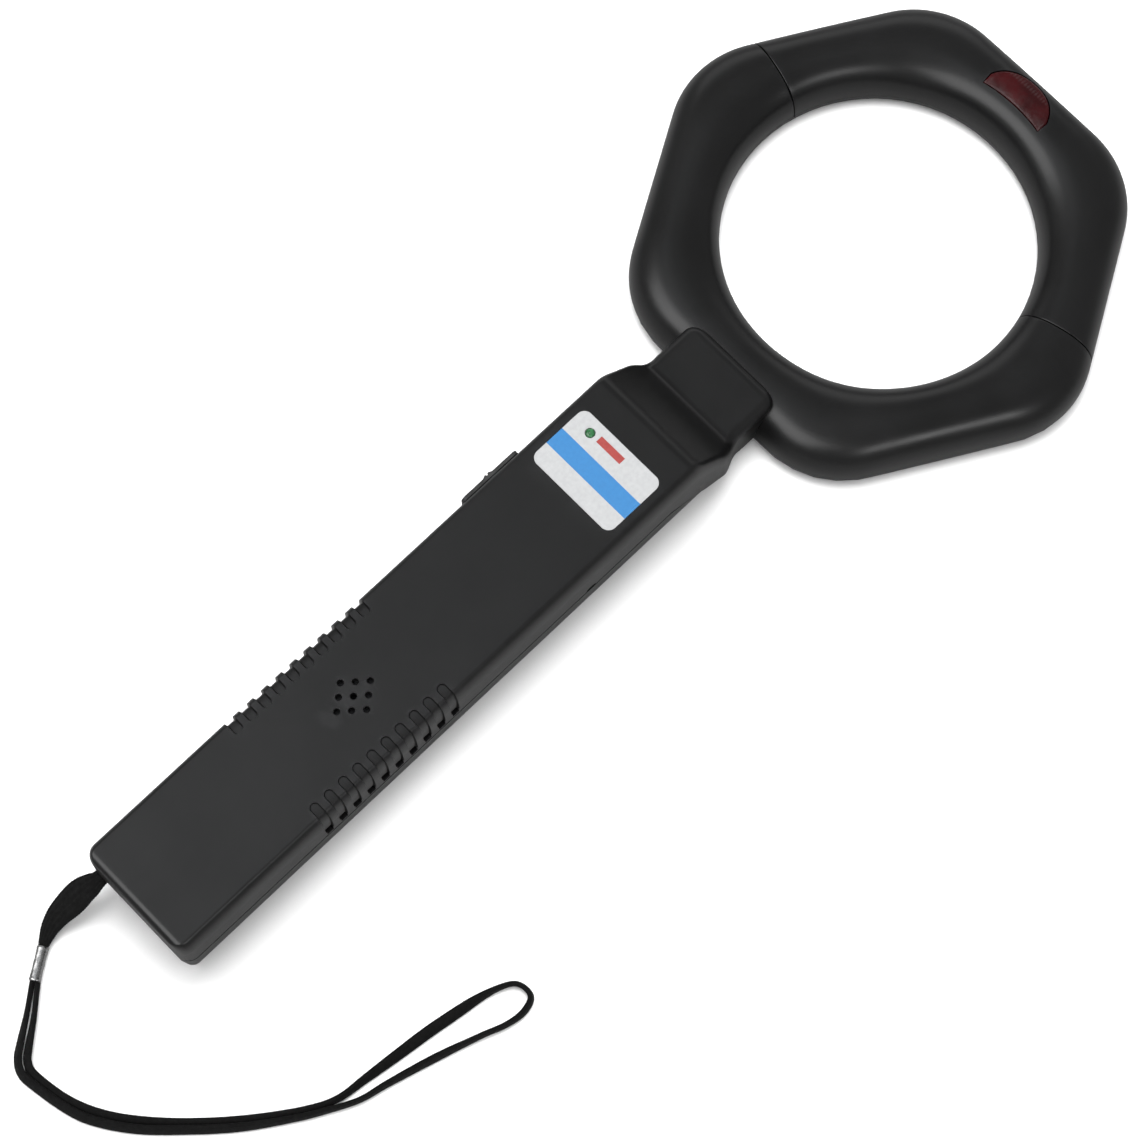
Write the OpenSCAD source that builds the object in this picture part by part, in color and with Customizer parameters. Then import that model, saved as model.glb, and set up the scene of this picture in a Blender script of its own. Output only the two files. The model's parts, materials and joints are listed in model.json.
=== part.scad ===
// Hand-held metal detector with a hexagonal search ring, a straight handle and a wrist strap.
// X runs along the handle towards the ring, Y across it, Z up from the table.
// The origin is on the table, midway between the handle's end and the ring's far side.

/* [Overall] */
// Length from the handle's end to the ring's far side
overall_l = 410; // [404:1:416]
// Wall thickness of every moulded shell
wall = 2.2; // [2:0.1:2.4]

/* [Search ring] */
// Distance from the ring's centre to each flat side
ring_apothem = 78.5; // [78:0.1:79]
// Radius of the ring's rounded corners
ring_corner_r = 34.4; // [33:0.1:36]
// Radius of the round opening
ring_hole_r = 53.4; // [53:0.1:54]
// Height of the ring
ring_h = 21; // [20.5:0.1:21.5]
// Height of the line where the ring's upper and lower shells meet
ring_split_z = 6; // [5.8:0.1:6.2]
// Angle of the seams between the near and the far upper covers
seam_angle = 76.5; // [75:0.5:78]

/* [Handle] */
// Height of the handle
handle_h = 44; // [43.5:0.1:44.5]
// Width of the handle
handle_w = 46.4; // [46:0.1:47]
// Height of the line where the handle's upper and lower shells meet
handle_split_z = 26.5; // [26:0.1:27]
// Distance from the end to where the top starts to slope down
ramp_start = 222; // [220:0.5:224]
// Distance from the end to the foot of the slope
ramp_end = 241; // [240:0.5:242]
// Height of the collar that lies on the ring
collar_h = 24.2; // [24:0.1:24.6]
// Width of the collar
collar_w = 39; // [38:0.1:40]
// Distance from the end to the collar's far edge
collar_end = 263.2; // [262.8:0.1:263.6]
// Radius of the handle's upper edges
edge_r = 3; // [2.6:0.1:3.2]

/* [Grip and front] */
// Number of grip grooves on each side
groove_count = 10; // [8:1:10]
// Distance between grooves
groove_pitch = 6; // [5.8:0.1:6.1]
// Width of a groove
groove_w = 3.6; // [3.2:0.1:3.8]
// Distance from the end to the first groove
groove_start = 60.8; // [60:0.1:61]
// Distance from the end to the middle of the sounder's holes
grille_at = 93.3; // [93:0.1:94]
// Length of the label along the handle
label_l = 24.1; // [23.5:0.1:24.5]
// Width of the label across the handle
label_w = 35.4; // [35:0.1:36]
// Distance from the end to the label's middle
label_at = 198.8; // [198:0.1:199.5]

/* [Moving parts] */
// Travel of the power switch each way from off
switch_travel = 2; // [1.5:0.1:2.2]
// Distance from the end to the switch's middle
switch_at = 174.5; // [174:0.1:175]
// Height of the switch's middle
switch_z = 34.5; // [34:0.1:35]

/* [Strap] */
// Width of the strap's flat cord
strap_w = 4; // [3.8:0.1:4.2]
// Thickness of the strap's flat cord
strap_t = 1.8; // [1.7:0.1:1.9]

/* [Hidden] */
$fn = 48;

gap = 0.05;
ring_x = overall_l / 2 - ring_apothem;
dome_h = ring_h - ring_split_z;
dome_power = 2.4;
base_power = 3;
base_flat = 1.1;
ring_step = 5;
lens_r = 13.6;
lens_inner_r = 62.8;
lens_shift = 60.8;
lens_tip_angle = 70;
alarm_led_at = 399.3;
led_board_w = 10.2;
led_wire_r = 67.3;
half_w = handle_w / 2;
end_reach = 9;
corner_in = 7;
half_collar = collar_w / 2;
neck_w = collar_w - 0.1;
ring_near = overall_l - 2 * ring_apothem;
split_drop_at = 210;
split_foot_at = 246;
inset_top = 17.8;
groove_depth = 1;
pocket_z = 29.6;
board_z = 29.4;
board_t = 1.6;
board_top = board_z + board_t;
board_from = 80;
board_to = 214;
trimmer_at = 174;
trimmer_z = 27.6;
door_half = 14;
door_to = 62;
door_lip = 6.5;
strap_y = 19;
strap_z = 16;
ferrule_w = 3.8;
screw_r = 1.2;
screw_hole_r = 1.25;
screw_way_r = 1.6;
screw_head_r = 2.8;
body_screws = [[74, 15.5], [74, -15.5], [203, 15], [203, -15], [238, 12.5], [238, -12.5]];
tongue_screw_at = 234;
rib_places = [88, 146, 192];
ring_screw_r = 76;
ring_screw_angles = [30, 90, 150, 210, 270, 330];
motor_z = 12;
motor_at = 98;
motor_r = 6;

// Position along X of a point at distance d from the handle's end
function hx(d) = d - overall_l / 2;

function signed_power(v, p) = sign(v) * pow(abs(v), p);

// Outer radius of the rounded hexagon at angle a
function hex_fold(a) = (a + 750) % 60 - 30;
function hex_corner_c() = (ring_apothem - ring_corner_r) / cos(30);
function hex_flat_end() = atan((ring_apothem - ring_corner_r) * tan(30) / ring_apothem);
function hex_corner(d) = hex_corner_c() * cos(d)
    + sqrt(pow(ring_corner_r, 2) - pow(hex_corner_c() * sin(d), 2));
function hex_r(a) = abs(hex_fold(a)) <= hex_flat_end()
    ? ring_apothem / cos(hex_fold(a))
    : hex_corner(30 - abs(hex_fold(a)));

// A point of the ring's section: a is the angle round the ring, p the angle round the section
function band_mid(a) = (hex_r(a) + ring_hole_r) / 2;
function band_half(a) = (hex_r(a) - ring_hole_r) / 2;
function dome_point(a, p, inset) = [
    band_mid(a) + (band_half(a) - inset) * signed_power(cos(p), 2 / dome_power),
    ring_split_z + (dome_h - inset) * pow(sin(p), 2 / dome_power)
];
function base_point(a, p, inset) = [
    band_mid(a) + (band_half(a) - inset) * signed_power(cos(p), 2 / base_power),
    ring_split_z - gap - (ring_split_z - gap - inset) * min(1, base_flat * pow(sin(p), 2 / base_power))
];
function steps(n) = [for (i = [0:n]) 180 * i / n];
function back_steps(n) = [for (i = [n:-1:0]) 180 * i / n];
function cover_section(a) = concat(
    [for (p = steps(16)) dome_point(a, p, 0)],
    [for (p = back_steps(12)) dome_point(a, p, wall)]
);
function base_section(a) = concat(
    [for (p = back_steps(12)) base_point(a, p, 0)],
    [for (p = steps(8)) base_point(a, p, wall)]
);
function spun(points, a) = [for (q = points) [q[0] * cos(a), q[0] * sin(a), q[1]]];

// Joins a list of closed rings of points into one solid, capped at its two ends.
// caps_first lists the end faces before the sides.
module skin_open(rings, caps_first = false) {
    n = len(rings[0]);
    m = len(rings);
    sides = [
        for (j = [0:m - 2], i = [0:n - 1])
            [j * n + i, j * n + (i + 1) % n, (j + 1) * n + (i + 1) % n, (j + 1) * n + i]
    ];
    first = [[for (i = [n - 1:-1:0]) i]];
    last = [[for (i = [0:n - 1]) (m - 1) * n + i]];
    faces = caps_first ? concat(first, sides, last) : concat(sides, first, last);
    polyhedron(points = [for (r = rings) each r], faces = faces, convexity = 6);
}

// The same, closed round on itself
module skin_closed(rings) {
    n = len(rings[0]);
    m = len(rings);
    sides = [
        for (j = [0:m - 1], i = [0:n - 1])
            [j * n + i, j * n + (i + 1) % n, ((j + 1) % m) * n + (i + 1) % n, ((j + 1) % m) * n + i]
    ];
    polyhedron(points = [for (r = rings) each r], faces = sides, convexity = 6);
}

// Points of an arc about c, from angle a0 to angle a1
function arc(c, r, a0, a1, n) = [
    for (i = [0:n]) [c[0] + r * cos(a0 + (a1 - a0) * i / n), c[1] + r * sin(a0 + (a1 - a0) * i / n)]
];
function mirrored(points) = [for (i = [len(points) - 1:-1:0]) [points[i][0], -points[i][1]]];
function negated(points) = [for (i = [len(points) - 1:-1:0]) [-points[i][0], points[i][1]]];

module rounded_rect(l, w, r, h) {
    linear_extrude(h)
        polygon(concat(
            arc([l / 2 - r, w / 2 - r], r, 0, 90, 6), arc([-l / 2 + r, w / 2 - r], r, 90, 180, 6),
            arc([-l / 2 + r, -w / 2 + r], r, 180, 270, 6), arc([l / 2 - r, -w / 2 + r], r, 270, 360, 6)
        ));
}

// ---- Handle body: a plan outline, a side outline and a cross-section that meet ----

// Half of the plan, from the end to the ring; inset moves it inwards
function neck_curve(inset) = [
    for (i = [0:6])
        [hx(234 + 11 * i / 6), half_w - inset - (half_w - neck_w / 2) * (1 - cos(30 * i)) / 2]
];
function plan_half(inset, to) = concat(
    arc([hx(4.5), half_w - 4.5], 4.5 - inset, 180, 90, 5),
    neck_curve(inset),
    [[hx(to), neck_w / 2 - inset]]
);
module plan_prism(inset, to) {
    half = plan_half(inset, to);
    translate([0, 0, -1])
        linear_extrude(handle_h + 2)
            polygon(concat(half, mirrored(half)));
}

// Upper line of the side view: flat top, slope down to the neck, then level
function top_line(inset, drop, to) = concat(
    [[hx(to), collar_h - drop], [hx(ramp_end + 3), collar_h - drop]],
    [[hx(ramp_end), collar_h + 1.2 - inset], [hx(ramp_end - 2.5), collar_h + 3.8 - inset]],
    [[hx(ramp_start + 4.5), handle_h - 3.4 - inset], [hx(ramp_start), handle_h - 0.8 - inset]],
    [[hx(ramp_start - 5), handle_h - inset]],
    arc([hx(2.5), handle_h - 2.5], 2.5 - min(inset, 2), 90, 180, 4)
);
function split_at(d) = handle_split_z
    - (handle_split_z - ring_split_z - 0.5) * (d - split_drop_at) / (split_foot_at - split_drop_at);
function split_line(to) = [
    [hx(-1), handle_split_z], [hx(split_drop_at), handle_split_z],
    [hx(split_foot_at), ring_split_z + 0.5], [hx(to), ring_split_z + 0.5]
];
module side_prism(points) {
    translate([0, handle_w, 0])
        rotate([90, 0, 0])
            linear_extrude(2 * handle_w)
                polygon(points);
}

// Half of the cross-section, from the top middle down to the bottom
function side_low(inset) = [
    for (i = [0:10])
        let (t = 9 * i)
        [(half_w - inset) * pow(cos(t), 2 / 2.6),
         handle_split_z - (handle_split_z - inset) * min(1, 1.06 * pow(sin(t), 2 / 2.6))]
];
function cross_half(inset) = concat(
    arc([half_w - 0.4 - edge_r, handle_h - edge_r], edge_r - min(inset, 2.4), 90, 0, 5),
    side_low(inset)
);
module cross_prism(inset) {
    half = [for (q = cross_half(inset)) [q[0], min(q[1], handle_h - inset)]];
    translate([hx(-2), 0, 0])
        rotate([90, 0, 90])
            linear_extrude(overall_l)
                polygon(concat(half, negated(half)));
}

module end_prism(inset) {
    side_prism(concat(
        [[hx(254.5), inset]], [[hx(254.5), handle_h - inset]],
        arc([hx(2.5), handle_h - 2.5], 2.5 - min(inset, 2), 90, 180, 4),
        [for (i = [0:10])
            let (t = 9 * i)
            [hx(end_reach - (end_reach - inset) * pow(cos(t), 2 / 2.6)),
             handle_split_z - (handle_split_z - inset) * min(1, 1.06 * pow(sin(t), 2 / 2.6))]]
    ));
}

// Takes the two corners of the handle's end back, more and more towards the table
module corner_prism(inset) {
    translate([hx(corner_in), -handle_w, -2])
        cube([overall_l, 2 * handle_w, handle_h + 4]);
    translate([hx(-2), corner_in - half_w, -2])
        cube([20, 2 * (half_w - corner_in), handle_h + 4]);
    for (s = [-1, 1])
        translate([hx(corner_in), s * (half_w - corner_in), 0]) {
            cylinder(r1 = 5.4 - inset, r2 = 8.1 - inset, h = handle_split_z);
            translate([0, 0, handle_split_z])
                cylinder(r = 8.1 - inset, h = handle_h);
        }
}

// The whole handle as one solid block; inset gives the room inside it
module handle_block(inset, to) {
    intersection() {
        plan_prism(inset, to);
        cross_prism(inset);
        end_prism(inset);
        corner_prism(inset);
    }
}

module above_split(to) {
    side_prism(concat(split_line(to), top_line(0, 4, to)));
}
module above_split_room(to) {
    side_prism(concat(
        [[hx(-1), handle_split_z - 1], [hx(split_drop_at - 1), handle_split_z - 1],
         [hx(split_foot_at - 1), ring_split_z - 0.5], [hx(to), ring_split_z - 0.5]],
        top_line(wall, wall, to)
    ));
}
module below_split(to) {
    side_prism(concat(
        [[hx(to), -1], [hx(to), ring_split_z + 0.5 - gap]],
        [[hx(split_foot_at), ring_split_z + 0.5 - gap], [hx(split_drop_at), handle_split_z - gap]],
        [[hx(-1), handle_split_z - gap], [hx(-1), -1]]
    ));
}

// Solid that stands for the ring where the handle lies over it
module ring_dome_block() {
    half = (ring_apothem - ring_hole_r) / 2;
    mid = ring_near + half;
    side_prism(concat(
        [[hx(ring_near - gap), -2]],
        [for (p = steps(16))
            [hx(mid - (half + gap + 0.08) * signed_power(cos(p), 2 / dome_power)),
             ring_split_z + (dome_h + gap + 0.08) * pow(sin(p), 2 / dome_power)]],
        [[hx(mid + half + gap + 0.08), -2]]
    ));
}

// ---- Handle shells ----

module collar_block() {
    top_r = 3.6;
    profile = concat(
        [[half_collar, 0]],
        arc([half_collar - top_r, collar_h - top_r], top_r, 0, 90, 6)
    );
    corner = 5;
    intersection() {
        translate([hx(236), 0, 0])
            rotate([90, 0, 90])
                linear_extrude(collar_end - 236)
                    polygon(concat(profile, negated(profile)));
        side_prism(concat(
            [[hx(236), split_at(236)], [hx(split_foot_at), ring_split_z + 0.5]],
            [[hx(collar_end), ring_split_z + 0.5]],
            [[hx(collar_end), collar_h - 3.6]],
            arc([hx(collar_end - 3), collar_h - 3.6], 3, 15, 75, 3),
            [[hx(collar_end - 5), collar_h], [hx(ramp_end + 1), collar_h]],
            [[hx(ramp_end - 2.5), collar_h - 1.4], [hx(236), collar_h - 4]]
        ));
        linear_extrude(handle_h)
            polygon(concat(
                [[hx(236), -half_collar]],
                arc([hx(collar_end) - corner, -half_collar + corner], corner, 270, 360, 5),
                arc([hx(collar_end) - corner, half_collar - corner], corner, 0, 90, 5),
                [[hx(236), half_collar]]
            ));
    }
}

// One grip groove on the left side: a slot on the top, a slot down the side, and a pocket
module groove(at) {
    y_in = inset_top + groove_w / 2;
    skin_y = half_w - 0.4;
    depth_y = skin_y - groove_depth;
    translate([hx(at) - groove_w / 2, 0, 0])
        rotate([90, 0, 90])
            linear_extrude(groove_w)
                polygon(concat(
                    [[y_in, handle_h + 1], [y_in, handle_h - groove_depth]],
                    arc([skin_y - edge_r, handle_h - edge_r], edge_r - groove_depth, 90, 0, 3),
                    [[depth_y, pocket_z], [half_w + 2, pocket_z], [half_w + 2, handle_h + 1]]
                ));
    translate([hx(at), y_in, handle_h - groove_depth])
        linear_extrude(2)
            polygon(concat(
                arc([0, 0], groove_w / 2, 180, 360, 6),
                [[groove_w / 2, 1], [-groove_w / 2, 1]]
            ));
    translate([hx(at) - groove_w / 2 + 0.3, half_w - 2, pocket_z - 1.6])
        cube([groove_w - 0.6, 4, 2.6]);
}

module grip_grooves() {
    for (i = [0:groove_count - 1]) {
        groove(groove_start + i * groove_pitch);
        mirror([0, 1, 0])
            groove(groove_start + i * groove_pitch);
    }
}

// Three by three holes, turned an eighth of a turn to the handle
module grille_holes() {
    for (i = [-1:1], j = [-1:1]) {
        along = (j - i) * 3.58;
        across = (i + j) * 2.98;
        translate([hx(grille_at) + along, -across, handle_h - 4])
            cylinder(r = 1.05, h = 6);
    }
}

module label_recess() {
    translate([hx(label_at), 0, handle_h - 0.4])
        rounded_rect(label_l + 0.1, label_w + 0.1, 3, 2);
    translate([hx(206.1), 10.3, handle_h - 4])
        cylinder(r = 1.7, h = 6);
}

module switch_window() {
    translate([hx(switch_at) - 11.2, half_w - 4, switch_z - 3.8])
        cube([22.4, 8, 7.6]);
    translate([hx(switch_at), half_w - 0.25, switch_z])
        rotate([-90, 0, 0])
            rounded_rect(24.1, 9.1, 2, 4);
}

module trimmer_window() {
    translate([hx(trimmer_at), -half_w + 4, trimmer_z + 0.15])
        rotate([90, 0, 0])
            linear_extrude(8)
                polygon(concat(arc([1, 0], 1, -90, 90, 6), arc([-1, 0], 1, 90, 270, 6)));
}

module top_bosses() {
    intersection() {
        for (q = body_screws) {
            low = q[0] < 220 ? handle_split_z + 0.1 : 12;
            translate([hx(q[0]), q[1], low])
                cylinder(r = 3, h = handle_h - low);
        }
        side_prism(concat(
            [[hx(60), handle_split_z], [hx(222), 5], [hx(250), 5]],
            top_line(wall - 0.4, wall - 0.4, 250)
        ));
    }
    for (d = rib_places, s = [-1, 1])
        translate([hx(d) - 0.8, s > 0 ? 17.2 : -21.6, board_top + gap])
            cube([1.6, 4.4, handle_h - wall - board_top]);
}
module top_boss_holes() {
    for (q = body_screws)
        translate([hx(q[0]), q[1], -1])
            cylinder(r = screw_hole_r, h = q[0] < 220 ? handle_split_z + 11 : 21.5);
}

module handle_top_shell() {
    color([0.19, 0.19, 0.19])
        difference() {
            union() {
                difference() {
                    union() {
                        intersection() {
                            handle_block(0, 252.9);
                            above_split(252.9);
                        }
                        collar_block();
                    }
                    intersection() {
                        handle_block(wall, 254);
                        above_split_room(254);
                    }
                }
                top_bosses();
            }
            ring_dome_block();
            top_boss_holes();
            grip_grooves();
            grille_holes();
            label_recess();
            switch_window();
            trimmer_window();
        }
}

module bottom_bosses() {
    for (q = body_screws)
        translate([hx(q[0]), q[1], 1])
            cylinder(r = 3.4, h = q[0] < 220 ? handle_split_z - 1.1 : 10.9);
    for (d = rib_places, s = [-1, 1])
        translate([hx(d) - 0.8, s > 0 ? 17.2 : -20.4, 6])
            cube([1.6, 3.2, board_z - gap - 6]);
    translate([hx(tongue_screw_at), 0, 1])
        cylinder(r = 4, h = 2.5);
}
module bottom_boss_holes() {
    for (q = body_screws) {
        translate([hx(q[0]), q[1], -1])
            cylinder(r = screw_way_r, h = handle_split_z + 4);
        translate([hx(q[0]), q[1], -1])
            cylinder(r = screw_head_r + 0.1, h = q[0] < 220 ? 13 : 6);
    }
    translate([hx(tongue_screw_at), 0, -1]) {
        cylinder(r = screw_way_r, h = 8);
        cylinder(r = screw_head_r + 0.1, h = 3);
    }
}

module strap_corner() {
    intersection() {
        handle_block(0, 60);
        translate([hx(0), 14.6, 0])
            cube([11, 10, 24]);
    }
}
module strap_way() {
    translate([hx(-2), strap_y - 3, strap_z - 2])
        cube([14, 6, 4]);
    translate([hx(6.5), strap_y - 0.5, 11])
        cylinder(r = screw_hole_r, h = 17);
}

module battery_opening() {
    translate([hx(-2), -door_half, -1])
        cube([door_to + 2, 2 * door_half, door_lip + 1]);
}
module tongue_opening() {
    translate([hx(229), -8.6, 3.5])
        cube([30, 17.2, 20]);
}

module handle_bottom_shell() {
    color([0.17, 0.17, 0.17])
        difference() {
            union() {
                difference() {
                    intersection() {
                        handle_block(0, 252.9);
                        below_split(252.9);
                    }
                    handle_block(wall, 254);
                }
                strap_corner();
                intersection() {
                    bottom_bosses();
                    handle_block(0.6, 254);
                }
            }
            ring_dome_block();
            bottom_boss_holes();
            strap_way();
            battery_opening();
            tongue_opening();
        }
}

module battery_door() {
    color([0.17, 0.17, 0.17])
        difference() {
            union() {
                intersection() {
                    difference() {
                        handle_block(0, 254);
                        handle_block(wall, 254);
                    }
                    translate([hx(-1), -door_half + 0.15, -1])
                        cube([door_to + 0.8, 2 * door_half - 0.3, door_lip + 0.85]);
                }
                translate([hx(door_to - 10), -5, wall])
                    cube([15, 10, 1.1]);
            }
            for (i = [0:4])
                translate([hx(12 + 3.2 * i), 0, -0.4])
                    rotate([90, 0, 0])
                        translate([0, 0, -8])
                            cylinder(r = 0.9, h = 16);
            translate([hx(door_to - 0.2), -5.2, wall - 1])
                cube([6, 10.4, 1.06]);
            translate([hx(8.9), -13.3, 3.35])
                cube([59.5, 26.6, 10]);
        }
}

// ---- Ring shells ----

// The upper cover between two angles
module cover_arc(a0, a1, caps_first = false) {
    n = round((a1 - a0) / ring_step);
    translate([ring_x, 0, 0])
        skin_open([for (i = [0:n])
            let (a = a0 + (a1 - a0) * i / n)
            spun(cover_section(a), a)], caps_first);
}

module cover_boss(a) {
    translate([ring_x + ring_screw_r * cos(a), ring_screw_r * sin(a), 8.95])
        cylinder(r = 2.8, h = 9);
}
module cover_boss_hole(a) {
    translate([ring_x + ring_screw_r * cos(a), ring_screw_r * sin(a), 7])
        cylinder(r = screw_hole_r, h = 9);
}

module ring_near_cover() {
    color([0.19, 0.19, 0.19])
        difference() {
            union() {
                cover_arc(seam_angle + 0.05, 360 - seam_angle - 0.05);
                for (a = [90, 150, 210, 270])
                    cover_boss(a);
            }
            for (a = [90, 150, 210, 270])
                cover_boss_hole(a);
            translate([hx(ring_near - 2), -5, ring_split_z - 1])
                cube([9, 10, 8]);
        }
}

// The half-moon of the alarm lens, grown by g: an outer arc and an almost straight inner edge
module lens_prism(g, z0, z1) {
    translate([ring_x, 0, z0])
        linear_extrude(z1 - z0)
            polygon(concat(
                arc([lens_shift, 0], lens_r + g, -lens_tip_angle - 57 * g / lens_r,
                    lens_tip_angle + 57 * g / lens_r, 14),
                arc([0, 0], lens_inner_r - g, 11.6 + 57 * g / lens_inner_r, -11.6 - 57 * g / lens_inner_r, 4)
            ));
}

module ring_far_cover() {
    color([0.19, 0.19, 0.19])
        difference() {
            union() {
                cover_arc(-seam_angle + 0.05, seam_angle - 0.05, caps_first = true);
                for (a = [30, -30])
                    cover_boss(a);
            }
            for (a = [30, -30])
                cover_boss_hole(a);
            lens_prism(0.18, 12, 30);
        }
}

module alarm_lens() {
    color([0.5, 0.06, 0.08, 0.8])
        intersection() {
            cover_arc(-15, 15);
            lens_prism(0, 12, 30);
        }
}

module ring_bottom_shell() {
    color([0.17, 0.17, 0.17])
        difference() {
            union() {
                translate([ring_x, 0, 0])
                    skin_closed([for (a = [0:ring_step:359]) spun(base_section(a), a)]);
                for (a = ring_screw_angles)
                    translate([ring_x + ring_screw_r * cos(a), ring_screw_r * sin(a), 1.4])
                        cylinder(r = 3.9, h = 7.5);
                translate([hx(230), -8, 3.55])
                    cube([26, 16, ring_split_z - 3.55]);
            }
            for (a = ring_screw_angles)
                translate([ring_x + ring_screw_r * cos(a), ring_screw_r * sin(a), -1]) {
                    cylinder(r = screw_way_r, h = 12);
                    cylinder(r = screw_head_r + 0.1, h = 4.4);
                }
            translate([hx(tongue_screw_at), 0, -1])
                cylinder(r = screw_hole_r, h = 8);
        }
}

// ---- Ring contents ----

module coil_former() {
    color([0.85, 0.82, 0.72])
        translate([ring_x, 0, 0])
            rotate_extrude($fn = 96)
                polygon([[60, 2.6], [68, 2.6], [68, 8], [66.6, 8],
                         [66.6, 3.8], [61.4, 3.8], [61.4, 8], [60, 8]]);
}

module search_coil() {
    color([0.65, 0.32, 0.14])
        translate([ring_x, 0, 0])
            rotate_extrude($fn = 96)
                polygon([[61.45, 3.85], [66.55, 3.85], [66.55, 6.2], [65.8, 6.6],
                         [62.2, 6.6], [61.45, 6.2]]);
}

// A small board that lies on the coil former's two walls and carries the alarm light
module alarm_led_board() {
    color([0.16, 0.35, 0.2])
        translate([ring_x + 59.5, -led_board_w / 2, 8.05])
            cube([12.5, led_board_w, 1.2]);
}

module alarm_led() {
    color([0.8, 0.1, 0.1])
        translate([hx(alarm_led_at), 0, 9.3]) {
            cylinder(r = 2.5, h = 4.6, $fn = 32);
            cylinder(r = 2.9, h = 1, $fn = 32);
            translate([0, 0, 4.6])
                intersection() {
                    sphere(r = 2.5, $fn = 32);
                    translate([-3, -3, 0])
                        cube([6, 6, 3]);
                }
        }
}

module wire(points, r) {
    skin_open([for (i = [0:len(points) - 1]) tube_ring(points, i, r, r, 8)]);
}
// Two insulated wires from the coil, through the neck, to the circuit board
function neck_run(y) = [
    [hx(252), y, 10.5], [hx(244), y, 11], [hx(236), y, 14], [hx(228), y, 20],
    [hx(221), y, 26], [hx(217), y, 29], [hx(214.25), y, 30]
];
module coil_cable() {
    color([0.75, 0.1, 0.1])
        for (s = [-1, 1])
            wire(concat(
                [[hx(267.5), 2.3 * s, 7.25], [hx(266), 2.2 * s, 8.7], [hx(263), 2.1 * s, 9.9]],
                [[hx(258), 1.9 * s, 10.6]],
                neck_run(1.6 * s)
            ), 0.6);
}

// The alarm light's lead: half round the ring on the former's outer wall, then up the neck
module led_cable() {
    start = asin(led_board_w / 2 / led_wire_r) + 0.02;
    end = 180 - asin(4 / led_wire_r);
    color([0.85, 0.7, 0.1]) {
        translate([ring_x, 0, 0])
            rotate(start)
                rotate_extrude(angle = end - start, $fn = 96)
                    translate([led_wire_r, 8.75])
                        circle(r = 0.7, $fn = 24);
        wire(concat(
            [[ring_x - led_wire_r * sin(90 - asin(4 / led_wire_r)) + 0.3, 4, 8.75]],
            [[hx(262), 4, 9.1], [hx(258), 4, 9.8]],
            neck_run(3.8)
        ), 0.6);
    }
}

// ---- Handle contents ----

module circuit_board() {
    color([0.16, 0.35, 0.2])
        difference() {
            translate([hx(board_from), -19.4, board_z])
                cube([board_to - board_from, 38.8, board_t]);
            for (s = [-1, 1])
                translate([hx(203), 15 * s, board_z - 1])
                    cylinder(r = 3.2, h = 4);
        }
}

module buzzer() {
    color([0.12, 0.12, 0.13])
        translate([hx(grille_at), 0, board_top])
            difference() {
                cylinder(r = 11.5, h = 9, $fn = 64);
                translate([0, 0, 6])
                    cylinder(r = 1.5, h = 4, $fn = 24);
            }
}

module detector_chip() {
    color([0.15, 0.15, 0.16]) {
        translate([hx(128), -3.2, board_top + 0.5])
            cube([19, 6.4, 3.4]);
        for (i = [0:6], s = [-1, 1])
            translate([hx(129.6 + 2.54 * i), 3.8 * s - 0.3, board_top])
                cube([0.5, 0.6, 2.2]);
        for (i = [0:6], s = [-1, 1])
            translate([hx(129.6 + 2.54 * i), min(3.2 * s, 3.8 * s - 0.3 * s), board_top + 1.8])
                cube([0.5, 0.9, 0.4]);
    }
}

module capacitors() {
    color([0.2, 0.25, 0.5]) {
        for (q = [[112, 9, 3.2, 8], [112, -9, 3.2, 8], [156, 6, 2.5, 7], [156, -8, 2.5, 7], [190, -8, 2.5, 7]])
            translate([hx(q[0]), q[1], board_top])
                cylinder(r = q[2], h = q[3], $fn = 32);
    }
}

module resistors() {
    color([0.76, 0.66, 0.45])
        for (i = [0:4], s = [-1, 1])
            translate([hx(124 + 5 * i), 12 * s - 3, board_top + 1.1])
                rotate([-90, 0, 0])
                    cylinder(r = 1.1, h = 6, $fn = 24);
}

module switch_body() {
    color([0.6, 0.6, 0.62])
        difference() {
            translate([hx(switch_at) - 10, 12, board_top])
                cube([20, 7.4, 7]);
            translate([hx(switch_at) - 5, 16, switch_z - 1.6])
                cube([10, 4, 3.2]);
        }
}

module switch_bezel() {
    color([0.13, 0.13, 0.13])
        difference() {
            union() {
                translate([hx(switch_at) - 11.1, half_w - 2.6, switch_z - 3.7])
                    cube([22.2, 2.8, 7.4]);
                translate([hx(switch_at), half_w - 0.2, switch_z])
                    rotate([-90, 0, 0])
                        rounded_rect(24, 9, 1.95, 1.2);
            }
            translate([hx(switch_at) - 7.2, half_w - 3, switch_z - 2.5])
                cube([14.4, 5, 5]);
        }
}

module switch_knob() {
    tip = half_w + 2.1;
    rest = half_w + 0.9;
    color([0.1, 0.1, 0.1])
        translate([hx(switch_at), 0, 0]) {
            translate([0, 0, switch_z - 2.3])
                linear_extrude(4.6)
                    polygon([
                        [-5, half_w - 2.8], [5, half_w - 2.8], [5, rest], [3.6, rest + 0.15],
                        [2.2, rest + 0.5], [0.9, tip], [0.5, tip], [0, rest + 0.3], [-0.5, tip],
                        [-0.9, tip], [-2.2, rest + 0.5], [-3.6, rest + 0.15], [-5, rest]
                    ]);
            translate([-1, 16.4, switch_z - 1])
                cube([2, half_w - 2.8 - 16.4, 2]);
        }
}

module trimmer_body() {
    color([0.2, 0.35, 0.7])
        difference() {
            translate([hx(trimmer_at) - 4.8, -19.2, board_z - 9.4])
                cube([9.6, 5, 9.35]);
            translate([hx(trimmer_at), -14, trimmer_z])
                rotate([90, 0, 0])
                    cylinder(r = 1.25, h = 8);
        }
}

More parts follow.
